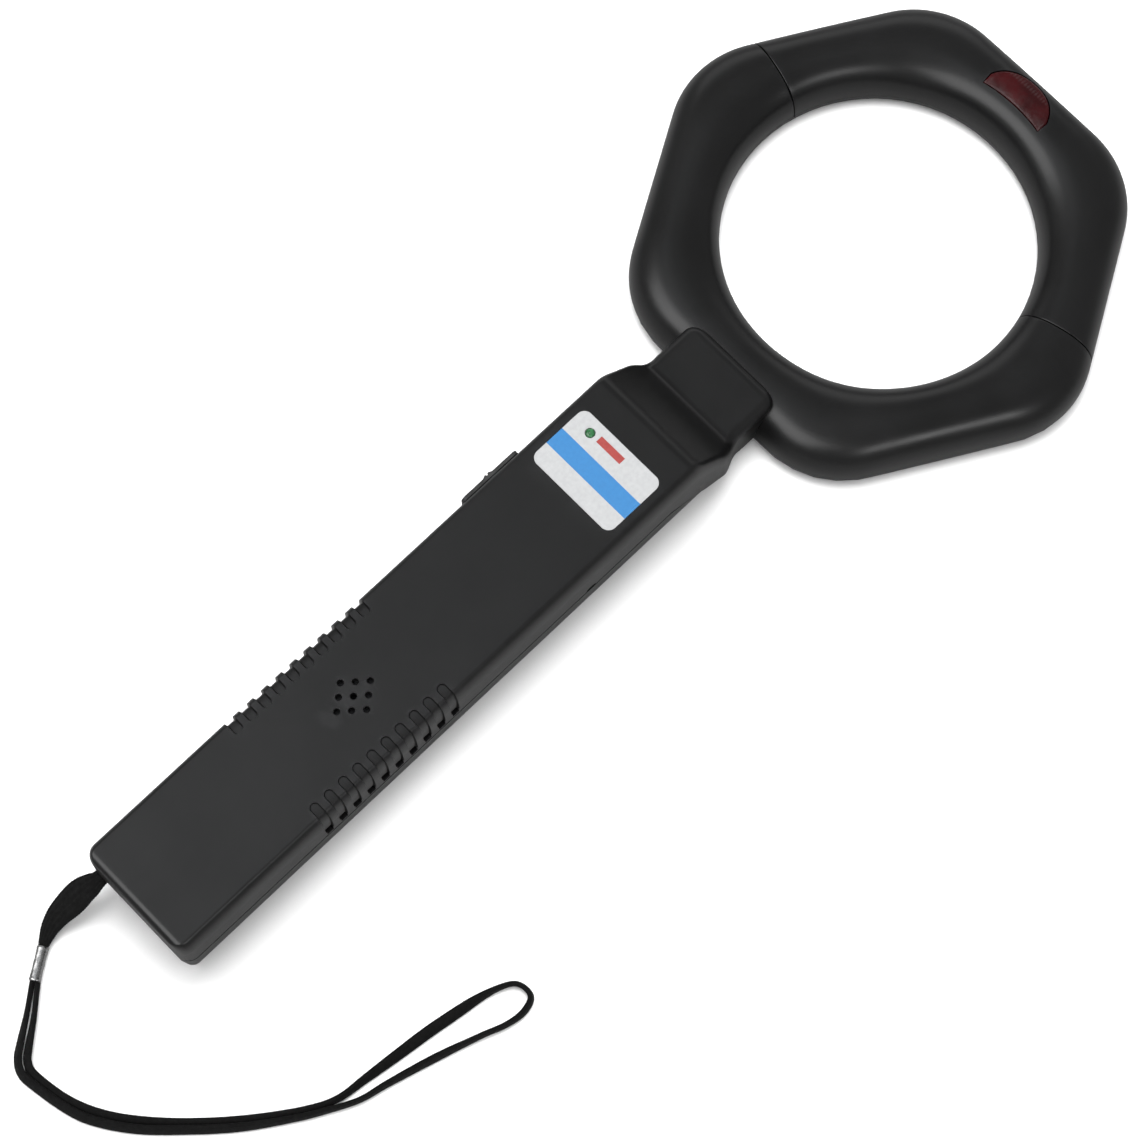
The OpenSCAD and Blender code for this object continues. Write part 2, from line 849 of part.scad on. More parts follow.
module trimmer_rotor() {
    color([0.85, 0.72, 0.35])
        translate([hx(trimmer_at), -17, trimmer_z])
            rotate([90, 0, 0])
                difference() {
                    cylinder(r = 1.2, h = 3);
                    translate([-0.25, -2, 2.4])
                        cube([0.5, 4, 1]);
                }
}

module power_led() {
    color([0.16, 0.45, 0.22])
        translate([hx(206.1), 10.3, board_top]) {
            cylinder(r = 1.5, h = handle_h - board_top + 0.1, $fn = 32);
            translate([0, 0, handle_h - board_top + 0.1])
                intersection() {
                    sphere(r = 1.5, $fn = 32);
                    translate([-2, -2, 0])
                        cube([4, 4, 0.7]);
                }
        }
}

module label_plate() {
    color([0.9, 0.91, 0.92])
        difference() {
            translate([hx(label_at), 0, handle_h - 0.4])
                rounded_rect(label_l, label_w, 2.95, 0.5);
            translate([hx(206.1), 10.3, handle_h - 2])
                cylinder(r = 1.65, h = 4, $fn = 32);
        }
}

module battery() {
    color([0.75, 0.7, 0.2]) {
        translate([hx(9), -13.2, 3.4])
            cube([46, 26.4, 17.4]);
        for (s = [-1, 1])
            translate([hx(55), 6.4 * s, 12.1])
                rotate([0, 90, 0])
                    cylinder(r = s > 0 ? 2.8 : 3.8, h = 2.4, $fn = 32);
    }
}

module battery_snap() {
    color([0.1, 0.1, 0.1])
        difference() {
            translate([hx(55.05), -12.6, 6.4])
                cube([6, 25.2, 11.4]);
            for (s = [-1, 1])
                translate([hx(54), 6.4 * s, 12.1])
                    rotate([0, 90, 0])
                        cylinder(r = s > 0 ? 2.85 : 3.85, h = 3.5, $fn = 32);
        }
}

module battery_leads() {
    for (s = [-1, 1])
        color(s > 0 ? [0.7, 0.08, 0.08] : [0.08, 0.08, 0.08])
            wire([
                [hx(61.1), 4 * s, 12], [hx(66), 4 * s, 12], [hx(71), 4 * s, 14], [hx(75), 4 * s, 19],
                [hx(77), 4 * s, 25], [hx(77.5), 4 * s, 28], [hx(78.4), 4 * s, 30], [hx(79.9), 4 * s, 30.2]
            ], 0.7);
}

// A rib across the lower shell, cut out to hold the vibration motor
module motor_cradle() {
    color([0.17, 0.17, 0.17])
        difference() {
            translate([hx(motor_at + 3), -9, wall + 0.2])
                cube([12, 18, 9.5]);
            translate([hx(motor_at), 0, motor_z])
                rotate([0, 90, 0])
                    cylinder(r = motor_r + 0.05, h = 20, $fn = 48);
        }
}

module vibration_motor() {
    color([0.7, 0.71, 0.73])
        translate([hx(motor_at), 0, motor_z])
            rotate([0, 90, 0])
                difference() {
                    cylinder(r = motor_r, h = 18, $fn = 48);
                    translate([0, 0, -1])
                        cylinder(r = 1.05, h = 6, $fn = 32);
                }
}

module motor_weight() {
    color([0.72, 0.62, 0.3])
        translate([hx(motor_at), 0, motor_z])
            rotate([0, -90, 0]) {
                translate([0, 0, -4])
                    cylinder(r = 1, h = 12, $fn = 32);
                translate([0, 0, 1.5])
                    intersection() {
                        cylinder(r = 5.4, h = 6, $fn = 48);
                        translate([-6, -6, -1])
                            cube([6.6, 12, 8]);
                    }
            }
}

// ---- Fasteners: a pan head with a cross slot, and a shank ----
module screw(l) {
    difference() {
        union() {
            cylinder(r = screw_head_r, h = 1.8, $fn = 32);
            cylinder(r = screw_r, h = l, $fn = 32);
        }
        for (a = [0, 90])
            rotate(a)
                translate([-1.6, -0.3, -1])
                    cube([3.2, 0.6, 1.8]);
    }
}

module handle_screws() {
    color("silver") {
        for (q = body_screws)
            translate([hx(q[0]), q[1], q[0] < 220 ? 10.2 : 3.2])
                screw(q[0] < 220 ? 24 : 15);
        translate([hx(tongue_screw_at), 0, 0.2])
            screw(7);
    }
}

module ring_screws() {
    color("silver")
        for (a = ring_screw_angles)
            translate([ring_x + ring_screw_r * cos(a), ring_screw_r * sin(a), 1.6])
                screw(12);
}

// ---- Strap ----

// Frame across the route at point i: a side direction and an up direction, turned by a roll
function unit(v) = v / norm(v);
function heading(points, i) = unit(
    at3(points, min(i + 1, len(points) - 1)) - at3(points, max(i - 1, 0))
);
function at3(points, i) = [points[i][0], points[i][1], points[i][2]];
function sideways(t) = unit(cross([0, 0, 1], t));
function tube_ring(points, i, rw, rt, n) = let (
    t = heading(points, i),
    s = sideways(t),
    u = cross(t, s),
    roll = len(points[i]) > 3 ? points[i][3] : 0,
    a = s * cos(roll) + u * sin(roll),
    b = u * cos(roll) - s * sin(roll)
) [for (k = [0:n - 1]) at3(points, i) + a * rw * cos(360 * k / n) - b * rt * sin(360 * k / n)];

// A smooth curve through the route's points, cut into k pieces between each two
function spline_point(p0, p1, p2, p3, u) = 0.5 * (
    2 * p1 + (p2 - p0) * u + (2 * p0 - 5 * p1 + 4 * p2 - p3) * u * u
    + (3 * p1 - p0 - 3 * p2 + p3) * u * u * u
);
function spline(points, k) = [
    for (i = [0:len(points) - 2], j = [0:k - 1])
        spline_point(
            points[max(i - 1, 0)], points[i], points[i + 1],
            points[min(i + 2, len(points) - 1)], j / k
        ),
    points[len(points) - 1]
];

// Route of the wide band from the handle's end to the ferrule: x, y, z, half width
band_route = [
    [-199.6, 18.9, 16, 2.6], [-205.5, 19, 16, 2.8], [-208.5, 19.5, 15, 3.8], [-212.5, 20.5, 13, 4.7],
    [-217, 21, 10.5, 4.8], [-222, 21.5, 7.5, 4.1], [-226.5, 21, 5, 3.2], [-230.5, 19.5, 3.2, 2.2],
    [-232.5, 18.5, 2.6, 1.7]
];
// Where the ferrule starts and ends
ferrule_from = [-232.5, 18.5, 2.4];
ferrule_to = [-242, 12, 2.4];
// Route of the strap's cord, out to the loop and back: x, y, z, roll
loop_route = [
    [-242.5, 12.5, 2.3, 85], [-249.5, 7, 2, 75], [-257, 1.5, 1.9, 55], [-261.5, -2, 1.8, 50],
    [-264, -6, 1.8, 50], [-264, -11, 1.8, 50], [-261.5, -24, 1.8, 50], [-258, -33, 1.8, 50],
    [-250, -44.5, 1.8, 54], [-238, -56.5, 1.8, 55], [-226, -67, 1.9, 60], [-212.5, -76.5, 2, 75],
    [-204, -81.5, 2.1, 80], [-194, -86.5, 2.1, 85], [-184, -89, 2, 75], [-168, -93.5, 1.9, 65],
    [-153, -98.5, 2.1, 85], [-145, -101.5, 2.1, 85], [-138.5, -102.5, 2, 75], [-133.5, -101, 2, 75],
    [-132.5, -97.5, 2, 80], [-134, -94, 2.1, 85], [-138.5, -91.5, 2.1, 95], [-145, -89.5, 1.9, 120],
    [-152.5, -88, 1.5, 148], [-164, -86, 1.3, 160], [-176, -84.5, 1.5, 145], [-188, -83, 2, 120],
    [-198.5, -81.5, 2, 105], [-208, -77, 2, 106], [-221, -68, 2, 112], [-233, -58, 1.9, 116],
    [-244.5, -46.5, 1.9, 116], [-253.5, -35, 1.9, 120], [-259, -23.5, 1.8, 125],
    [-261.5, -10.5, 1.8, 130], [-260.5, -5.5, 1.8, 130], [-257, -2, 1.9, 128], [-250, 3.5, 2.1, 110],
    [-241.5, 11, 2.3, 95]
];

module strap_pin() {
    color("silver")
        translate([hx(6.5), strap_y - 0.5, 11.05])
            cylinder(r = screw_r, h = 12.9);
}

module strap_band() {
    pts = spline(band_route, 2);
    color([0.07, 0.07, 0.07])
        skin_open([for (i = [0:len(pts) - 1])
            tube_ring([for (q = pts) [q[0], q[1], q[2], 0]], i, pts[i][3], 1.1, 10)]);
}

module strap_ferrule() {
    span = ferrule_to - ferrule_from;
    color("silver")
        translate(ferrule_from)
            rotate([90, 0, 90 + atan2(span[1], span[0])])
                linear_extrude(norm(span))
                    polygon(concat(
                        arc([0, 0.3], ferrule_w / 2, 0, 180, 8),
                        arc([0, -0.3], ferrule_w / 2, 180, 360, 8)
                    ));
}

module strap_loop() {
    color([0.07, 0.07, 0.07])
        skin_open([for (i = [0:len(loop_route) - 1])
            tube_ring(loop_route, i, strap_w / 2, strap_t / 2, 8)]);
}

handle_top_shell();
handle_bottom_shell();
battery_door();
ring_near_cover();
ring_far_cover();
ring_bottom_shell();
alarm_lens();
alarm_led();
coil_former();
search_coil();
coil_cable();
alarm_led_board();
led_cable();
label_plate();
power_led();
switch_bezel();
switch_knob();
switch_body();
trimmer_body();
trimmer_rotor();
circuit_board();
buzzer();
detector_chip();
capacitors();
resistors();
battery();
battery_snap();
battery_leads();
motor_cradle();
vibration_motor();
motor_weight();
handle_screws();
ring_screws();
strap_pin();
strap_band();
strap_ferrule();
strap_loop();
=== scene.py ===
"""Hand-held metal detector: the looks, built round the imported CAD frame."""

import json
import math

import bmesh
import bpy
import numpy as np
from mathutils import Matrix, Vector


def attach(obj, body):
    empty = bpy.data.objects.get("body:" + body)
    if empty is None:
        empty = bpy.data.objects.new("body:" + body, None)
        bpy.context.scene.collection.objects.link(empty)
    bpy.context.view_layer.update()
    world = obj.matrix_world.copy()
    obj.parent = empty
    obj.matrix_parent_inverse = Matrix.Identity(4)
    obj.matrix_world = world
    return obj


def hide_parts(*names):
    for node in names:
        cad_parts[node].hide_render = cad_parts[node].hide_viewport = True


MM = 0.001
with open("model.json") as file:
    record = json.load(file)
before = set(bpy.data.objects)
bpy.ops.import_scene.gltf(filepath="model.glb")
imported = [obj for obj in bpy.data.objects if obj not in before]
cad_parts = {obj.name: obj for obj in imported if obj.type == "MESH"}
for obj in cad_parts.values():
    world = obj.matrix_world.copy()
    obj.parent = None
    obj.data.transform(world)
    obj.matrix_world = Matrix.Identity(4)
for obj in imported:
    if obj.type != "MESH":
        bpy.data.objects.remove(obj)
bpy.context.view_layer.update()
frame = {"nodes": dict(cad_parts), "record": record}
nodes = frame["nodes"]
scene = bpy.context.scene

# ---- Sizes, in millimetres, as in part.scad ----
# d is the distance from the handle's end, and x = d - HALF_L

HALF_L = 205.0
GAP = 0.1
WALL = 2.2
APOTHEM, CORNER_R, HOLE_R = 78.5, 34.4, 53.4
RING_H, RING_SPLIT = 21.0, 6.0
RING_X = 126.5
RING_NEAR = 253.0
DOME_POWER = 2.4
SEAM, SEAM_GAP = 76.5, 0.12  # degrees
HANDLE_H, HALF_W, SPLIT = 44.0, 23.2, 26.5
END_R = 4.5  # upright corners of the handle's end
EDGE_R, EDGE_TALL = 2.7, 3.2  # the top's long edges: reach inward, and how many times that they reach down
TOP_DRAFT = 0.4
SLOPE_AT, SLOPE = 222.6, 1.12
NECK_FROM, NECK_TO = 234, 245
COLLAR_H, HALF_COLLAR, COLLAR_END = 24.2, 19.5, 263.2
COLLAR_R, COLLAR_CORNER_R = 3.6, 5.0
PARTING_STEP = 0.45
GROOVE_START, GROOVE_PITCH, GROOVE_COUNT, GROOVE_W = 60.6, 6.0, 10, 3.3
GROOVE_TIP, GROOVE_DEPTH, GROOVE_FOOT = 15.9, 0.75, 30.8
GROOVE_DEPTH_LEFT, GROOVE_DRAFT = 1.1, 0.28
POCKET_LOW, POCKET_HIGH, POCKET_W, POCKET_DEPTH = 28.2, 31.4, 2.7, 2.0
GRILLE_AT, GRILLE_ALONG, GRILLE_ACROSS, GRILLE_R = 93.3, 3.58, 2.98, 1.05
LABEL_AT, LABEL_L, LABEL_W = 198.8, 24.1, 35.4
STRIPE_FROM, STRIPE_TO = 193.9, 200.9
BAR_FROM, BAR_TO, BAR_RIGHT, BAR_LEFT = 205.4, 208.0, -3.6, 6.9
LED_AT, LED_Y = 206.1, 10.3
SWITCH_AT, SWITCH_Z, SWITCH_L, SWITCH_TALL = 174.5, 34.5, 22.4, 7.6
TRIMMER_AT, TRIMMER_Z = 174.0, 27.6
LENS_R, LENS_SHIFT, LENS_TIP, LENS_INNER_R, LENS_INNER_TIP = 13.6, 60.8, 70.0, 62.8, 11.6

# ---- Camera ----


def add_camera():
    data = bpy.data.cameras.new("camera")
    data.lens = 105.1
    data.sensor_width = 36.0
    data.clip_start, data.clip_end = 0.05, 20.0
    cam = bpy.data.objects.new("camera", data)
    scene.collection.objects.link(cam)
    target = Vector((-0.02613, -0.00848, 0.0))
    azimuth, elevation, distance = math.radians(-134.27), math.radians(73.69), 1.090
    back = Vector(
        (
            math.cos(elevation) * math.cos(azimuth),
            math.cos(elevation) * math.sin(azimuth),
            math.sin(elevation),
        )
    )
    right = Vector((0, 0, 1)).cross(back).normalized()
    up = back.cross(right)
    turn = Matrix((right, up, back)).transposed().to_4x4()
    cam.matrix_world = Matrix.Translation(target + back * distance) @ turn
    scene.camera = cam


add_camera()

# ---- Mesh helpers ----


def new_piece(name, verts, faces, body="base", smooth=True):
    """A mesh object from points in millimetres."""
    mesh = bpy.data.meshes.new(name)
    mesh.from_pydata([tuple(c * MM for c in v) for v in verts], [], faces)
    mesh.validate()
    obj = bpy.data.objects.new(name, mesh)
    scene.collection.objects.link(obj)
    bm = bmesh.new()
    bm.from_mesh(mesh)
    bmesh.ops.remove_doubles(bm, verts=bm.verts, dist=2e-7)
    bmesh.ops.recalc_face_normals(bm, faces=bm.faces)
    bm.to_mesh(mesh)
    bm.free()
    if smooth:
        mesh.shade_smooth()
    if body:
        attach(obj, body)
    return obj


def sharpen(obj, degrees=35):
    obj.data.shade_smooth()
    obj.data.set_sharp_from_angle(angle=math.radians(degrees))


def strip_faces(m, n, close_u=False, close_v=False):
    """Quads between m rows of n points. close_u joins each row's ends, close_v the outer rows."""
    rows = m if close_v else m - 1
    cols = n if close_u else n - 1
    return [
        (
            j * n + i,
            j * n + (i + 1) % n,
            ((j + 1) % m) * n + (i + 1) % n,
            ((j + 1) % m) * n + i,
        )
        for j in range(rows)
        for i in range(cols)
    ]


def prism(name, outline, z0, z1):
    """A closed upright prism over an outline of (x, y)."""
    n = len(outline)
    verts = [(x, y, z0) for x, y in outline] + [(x, y, z1) for x, y in outline]
    faces = [tuple(range(n))[::-1], tuple(range(n, 2 * n))]
    faces += [(i, (i + 1) % n, n + (i + 1) % n, n + i) for i in range(n)]
    return new_piece(name, verts, faces, body=None, smooth=False)


def arc(cx, cy, r, a0, a1, n):
    return [
        (
            cx + r * math.cos(math.radians(a0 + (a1 - a0) * i / n)),
            cy + r * math.sin(math.radians(a0 + (a1 - a0) * i / n)),
        )
        for i in range(n + 1)
    ]


def rounded_rect(cx, cy, length, width, r, n=10):
    a, b = length / 2 - r, width / 2 - r
    return (
        arc(cx + a, cy + b, r, 0, 90, n)
        + arc(cx - a, cy + b, r, 90, 180, n)
        + arc(cx - a, cy - b, r, 180, 270, n)
        + arc(cx + a, cy - b, r, 270, 360, n)
    )


def lathe(name, profile, at, body="base", steps=64):
    """A solid turned about a vertical line; profile runs (r, z) from the axis to the axis."""
    verts, faces = [], []
    for i in range(steps):
        a = 2 * math.pi * i / steps
        for r, z in profile:
            verts.append(
                (at[0] + r * math.cos(a), at[1] + r * math.sin(a), at[2] + z)
            )
    faces = strip_faces(steps, len(profile), close_v=True)
    return new_piece(name, verts, faces, body)


def cut(obj, cutters):
    """Cuts a list of solids from obj, and removes them."""
    group = bpy.data.collections.new(obj.name + "_cutters")
    for c in cutters:
        for old in list(c.users_collection):
            old.objects.unlink(c)
        group.objects.link(c)
    scene.collection.children.link(group)
    mod = obj.modifiers.new("cut", "BOOLEAN")
    mod.operation = "DIFFERENCE"
    mod.solver = "EXACT"
    mod.operand_type = "COLLECTION"
    mod.collection = group
    dg = bpy.context.evaluated_depsgraph_get()
    dg.update()
    mesh = bpy.data.meshes.new_from_object(obj.evaluated_get(dg), depsgraph=dg)
    obj.modifiers.clear()
    old_mesh = obj.data
    obj.data = mesh
    bpy.data.meshes.remove(old_mesh)
    for c in cutters:
        bpy.data.objects.remove(c)
    bpy.data.collections.remove(group)


# ---- Curves for the strap ----


def catmull(points, per):
    """A smooth path of rows through the given rows, with per steps between two of them."""
    p = np.array(points, float)
    p = np.vstack([2 * p[0] - p[1], p, 2 * p[-1] - p[-2]])
    out = []
    for i in range(1, len(p) - 2):
        for k in range(per):
            t = k / per
            a, b, c, e = p[i - 1], p[i], p[i + 1], p[i + 2]
            out.append(
                0.5
                * (
                    2 * b
                    + (c - a) * t
                    + (2 * a - 5 * b + 4 * c - e) * t * t
                    + (3 * b - a - 3 * c + e) * t**3
                )
            )
    out.append(p[-2])
    return np.array(out)


def resampled(rows, step):
    """The rows again, evenly spaced along their first three columns."""
    seg = np.linalg.norm(np.diff(rows[:, :3], axis=0), axis=1)
    s = np.concatenate([[0], np.cumsum(seg)])
    count = int(round(s[-1] / step)) + 1
    at = np.linspace(0, s[-1], count)
    return np.stack([np.interp(at, s, rows[:, k]) for k in range(rows.shape[1])], 1), at


def tube(name, rows, at, section, body="base"):
    """A closed tube along rows of x, y, z, roll. section(s, row) gives its outline at distance s."""
    pos = rows[:, :3]
    tan = np.gradient(pos, axis=0)
    tan /= np.linalg.norm(tan, axis=1)[:, None]
    side = np.cross([0, 0, 1.0], tan)
    side /= np.linalg.norm(side, axis=1)[:, None]
    over = np.cross(tan, side)
    roll = np.radians(rows[:, 3])[:, None]
    a = side * np.cos(roll) + over * np.sin(roll)
    b = np.cross(tan, a)
    verts = []
    n = None
    for j in range(len(rows)):
        u, v = section(at[j], rows[j])
        n = len(u)
        verts.append(pos[j] + a[j] * u[:, None] + b[j] * v[:, None])
    m = len(rows)
    flat = np.vstack(verts)
    faces = strip_faces(m, n, close_u=True)
    faces += [tuple(range(n))[::-1], tuple((m - 1) * n + i for i in range(n))]
    return new_piece(name, [tuple(v) for v in flat], faces, body)


BAND_ROUTE = [  # x, y, z, roll, half width
    (-199.6, 18.9, 16, 0, 2.6), (-205.5, 19, 16, 0, 2.8), (-208.5, 19.5, 15, 0, 3.8),
    (-212.5, 20.5, 13, 0, 4.7), (-217, 21, 10.5, 0, 4.8), (-222, 21.5, 7.5, 0, 4.1),
    (-226.5, 21, 5, 0, 3.2), (-230.5, 19.5, 3.2, 0, 2.2), (-232.5, 18.5, 2.6, 0, 1.7),
]
LOOP_ROUTE = [  # x, y, z, roll
    (-242.5, 12.5, 2.3, 85), (-249.5, 7, 2, 75), (-257, 1.5, 1.9, 55), (-261.5, -2, 1.8, 50),
    (-264, -6, 1.8, 50), (-264, -11, 1.8, 50), (-261.5, -24, 1.8, 50), (-258, -33, 1.8, 50),
    (-250, -44.5, 1.8, 54), (-238, -56.5, 1.8, 55), (-226, -67, 1.9, 60), (-212.5, -76.5, 2, 75),
    (-204, -81.5, 2.1, 80), (-194, -86.5, 2.1, 85), (-184, -89, 2, 75), (-168, -93.5, 1.9, 65),
    (-153, -98.5, 2.1, 85), (-145, -101.5, 2.1, 85), (-138.5, -102.5, 2, 75), (-133.5, -101, 2, 75),
    (-132.5, -97.5, 2, 80), (-134, -94, 2.1, 85), (-138.5, -91.5, 2.1, 95), (-145, -89.5, 1.9, 120),
    (-152.5, -88, 1.5, 148), (-164, -86, 1.3, 160), (-176, -84.5, 1.5, 145), (-188, -83, 2, 120),
    (-198.5, -81.5, 2, 105), (-208, -77, 2, 106), (-221, -68, 2, 112), (-233, -58, 1.9, 116),
    (-244.5, -46.5, 1.9, 116), (-253.5, -35, 1.9, 120), (-259, -23.5, 1.8, 125),
    (-261.5, -10.5, 1.8, 130), (-260.5, -5.5, 1.8, 130), (-257, -2, 1.9, 128), (-250, 3.5, 2.1, 110),
    (-241.5, 11, 2.3, 95),
]
FERRULE_FROM, FERRULE_TO = (-232.5, 18.5, 2.4), (-242.0, 12.0, 2.4)


def braid(s, p, length, strands):
    """Height from 0 to 1 of a braid's strands at distance s and section angle p."""
    one = np.abs(np.cos(math.pi * s / length + strands * p / 2))
    two = np.abs(np.cos(math.pi * s / length - strands * p / 2))
    return np.maximum(one, two)


def cord_section(s, _row):
    p = np.linspace(0, 2 * math.pi, 40, endpoint=False)
    lift = 0.16 * (braid(s, p, 1.5, 10) - 1.0)
    u = np.sign(np.cos(p)) * np.abs(np.cos(p)) ** (2 / 2.5) * (2.0 + lift)
    v = np.sign(np.sin(p)) * np.abs(np.sin(p)) ** (2 / 2.2) * (0.9 + lift * 0.7)
    return u, v


def band_section(s, row):
    p = np.linspace(0, 2 * math.pi, 72, endpoint=False)
    half = row[4]
    u = np.sign(np.cos(p)) * np.abs(np.cos(p)) ** (2 / 2.3) * half
    v = np.sign(np.sin(p)) * np.abs(np.sin(p)) ** (2 / 2.2) * 1.1
    ribs = 0.5 + 0.5 * np.cos(2 * math.pi * u / max(half, 1) * 2.5)
    weave = 0.10 * np.cos(2 * math.pi * s / 0.9) * np.cos(2 * math.pi * u / 0.9)
    lift = -0.30 * ribs * np.minimum(1, half / 3.5) + weave
    return u * (1 + 0.02 * np.cos(2 * math.pi * s / 0.9)), v * (1 + lift)


def add_strap():
    rows, at = resampled(catmull(LOOP_ROUTE, 12), 0.3)
    loop = tube("strap_cord", rows, at, cord_section)
    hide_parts("strap_loop")
    rows_b, at_b = resampled(catmull(BAND_ROUTE, 12), 0.25)
    band = tube("strap_neck", rows_b, at_b, band_section)
    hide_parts("strap_band")
    ferrule = add_ferrule()
    return loop, band, ferrule


def add_ferrule():
    """A crimped metal sleeve: an oval tube with rolled ends and two pressed dents."""
    a, b = Vector(FERRULE_FROM), Vector(FERRULE_TO)
    run = b - a
    length = run.length
    t = run.normalized()
    side = Vector((0, 0, 1)).cross(t).normalized()
    up = t.cross(side)
    n, verts = 48, []
    stations = [0, 0.15, 0.4, 0.8, 1.2]
    stations += list(np.linspace(1.8, length - 1.8, 26))
    stations += [length - 1.2, length - 0.8, length - 0.4, length - 0.15, length]
    profile = []
    for s in stations:
        edge = min(s, length - s)
        roll = -0.28 * max(0, 1 - edge / 0.4) ** 2 + 0.12 * math.exp(-(((edge - 0.6) / 0.3) ** 2))
        dent = sum(0.10 * math.exp(-(((s - c) / 1.1) ** 2)) for c in (length * 0.34, length * 0.66))
        profile.append((s, roll, dent))
    inner = [(length - 0.02, -0.5, 0), (length * 0.5, -0.5, 0), (0.02, -0.5, 0)]
    rows = profile + inner
    for s, roll, dent in rows:
        for i in range(n):
            p = 2 * math.pi * i / n
            c, q = math.cos(p), math.sin(p)
            u = math.copysign(abs(c) ** 0.8, c) * (1.85 + roll)
            v = math.copysign(abs(q) ** 0.8, q) * (2.12 + roll)
            u *= 1 - dent * abs(c) ** 6
            v *= 1 - dent * 0.45 * abs(q) ** 6
            verts.append(tuple(a + t * s + side * u + up * v))
    faces = strip_faces(len(rows), n, close_u=True, close_v=True)
    obj = new_piece("strap_crimp", verts, faces)
    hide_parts("strap_ferrule")
    return obj


strap = add_strap()

# ---- Shape of the ring ----


def hex_r(a):
    """Outer radius of the rounded hexagon at angle a in degrees."""
    f = (a + 750) % 60 - 30
    flat_end = math.degrees(
        math.atan((APOTHEM - CORNER_R) * math.tan(math.radians(30)) / APOTHEM)
    )
    if abs(f) <= flat_end:
        return APOTHEM / math.cos(math.radians(f))
    c = (APOTHEM - CORNER_R) / math.cos(math.radians(30))
    q = math.radians(30 - abs(f))
    return c * math.cos(q) + math.sqrt(CORNER_R**2 - (c * math.sin(q)) ** 2)


def dome_row(a, phis, inset=0.0):
    """Points (r, z) of the upper cover's section at angle a."""
    mid, half = (hex_r(a) + HOLE_R) / 2, (hex_r(a) - HOLE_R) / 2 - inset
    high = RING_H - RING_SPLIT - inset
    c, s = np.cos(phis), np.sin(phis)
    r = mid + half * np.sign(c) * np.abs(c) ** (2 / DOME_POWER)
    z = RING_SPLIT + high * np.abs(s) ** (2 / DOME_POWER)
    return r, z


def dome_z(x, y):
    """Height of the ring's upper surface over a point, or None beside it."""
    dx = x - RING_X
    r, a = math.hypot(dx, y), math.degrees(math.atan2(y, dx))
    mid, half = (hex_r(a) + HOLE_R) / 2, (hex_r(a) - HOLE_R) / 2
    q = abs(r - mid) / half
    if q >= 1:
        return None
    return RING_SPLIT + (RING_H - RING_SPLIT) * (1 - q**DOME_POWER) ** (1 / DOME_POWER)


def eased(n):
    """Angles from 0 to pi, closer together near both ends."""
    t = np.linspace(0, 1, n)
    return math.pi * (t - 0.12 * np.sin(4 * math.pi * t) / 2)


def edge_inset(t, r):
    """How far a rounded edge of radius r draws in at distance t from the end."""
    return 0.0 if t >= r else r - math.sqrt(max(r * r - (r - t) ** 2, 0))


def cover_mesh(name, a0, a1):
    """One upper cover: outer and inner skins between two seams, with its edges rounded."""
    phis, inner_phis = eased(65), eased(25)[::-1]
    seam_r, mean = 0.34, 68.0
    ends = [0, 0.03, 0.08, 0.14, 0.22]
    angles = [(a0 + math.degrees(t / mean), t) for t in ends]
    steps = int(round((a1 - a0) / 1.5))
    pad = math.degrees(0.5 / mean)
    angles += [(a0 + pad + (a1 - a0 - 2 * pad) * i / steps, 9) for i in range(steps + 1)]
    angles += [(a1 - math.degrees(t / mean), t) for t in reversed(ends)]
    verts, n = [], len(phis) + len(inner_phis)
    for a, t in angles:
        inset = edge_inset(t, seam_r)
        r, z = dome_row(a, phis, inset)
        ri, zi = dome_row(a, inner_phis, WALL)
        c, s = math.cos(math.radians(a)), math.sin(math.radians(a))
        for rr, zz in zip(np.concatenate([r, ri]), np.concatenate([z, zi])):
            verts.append((RING_X + rr * c, rr * s, zz))
    m = len(angles)
    faces = strip_faces(m, n, close_u=True)
    faces += strip_cap(0, n, len(phis), True) + strip_cap((m - 1) * n, n, len(phis), False)
    return new_piece(name, verts, faces)


def strip_cap(start, n, outer, flip):
    """Closes the open end of a cover with quads between its outer and inner skins."""
    inner = n - outer
    out = []
    for i in range(outer - 1):
        k0 = n - 1 - round(i * (inner - 1) / (outer - 1))
        k1 = n - 1 - round((i + 1) * (inner - 1) / (outer - 1))
        f = [start + i, start + i + 1, start + k1] + ([start + k0] if k0 != k1 else [])
        out.append(tuple(f[::-1] if flip else f))
    return out


def lens_outline(grow):
    """The half-moon of the alarm lens: an outer arc and an almost straight inner edge."""
    outer = arc(RING_X + LENS_SHIFT, 0, LENS_R + grow, -LENS_TIP, LENS_TIP, 40)
    inner = arc(RING_X, 0, LENS_INNER_R - grow, LENS_INNER_TIP, -LENS_INNER_TIP, 14)
    return outer + inner


def add_ring():
    near = cover_mesh("ring_cover_near", SEAM + SEAM_GAP, 360 - SEAM - SEAM_GAP)
    far = cover_mesh("ring_cover_far", -SEAM + SEAM_GAP, SEAM - SEAM_GAP)
    cut(far, [prism("lens_cut", lens_outline(0.25), 12, 30)])
    sharpen(far, 40)
    sharpen(near, 60)
    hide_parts("ring_near_cover")
    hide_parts("ring_far_cover")
    return near, far


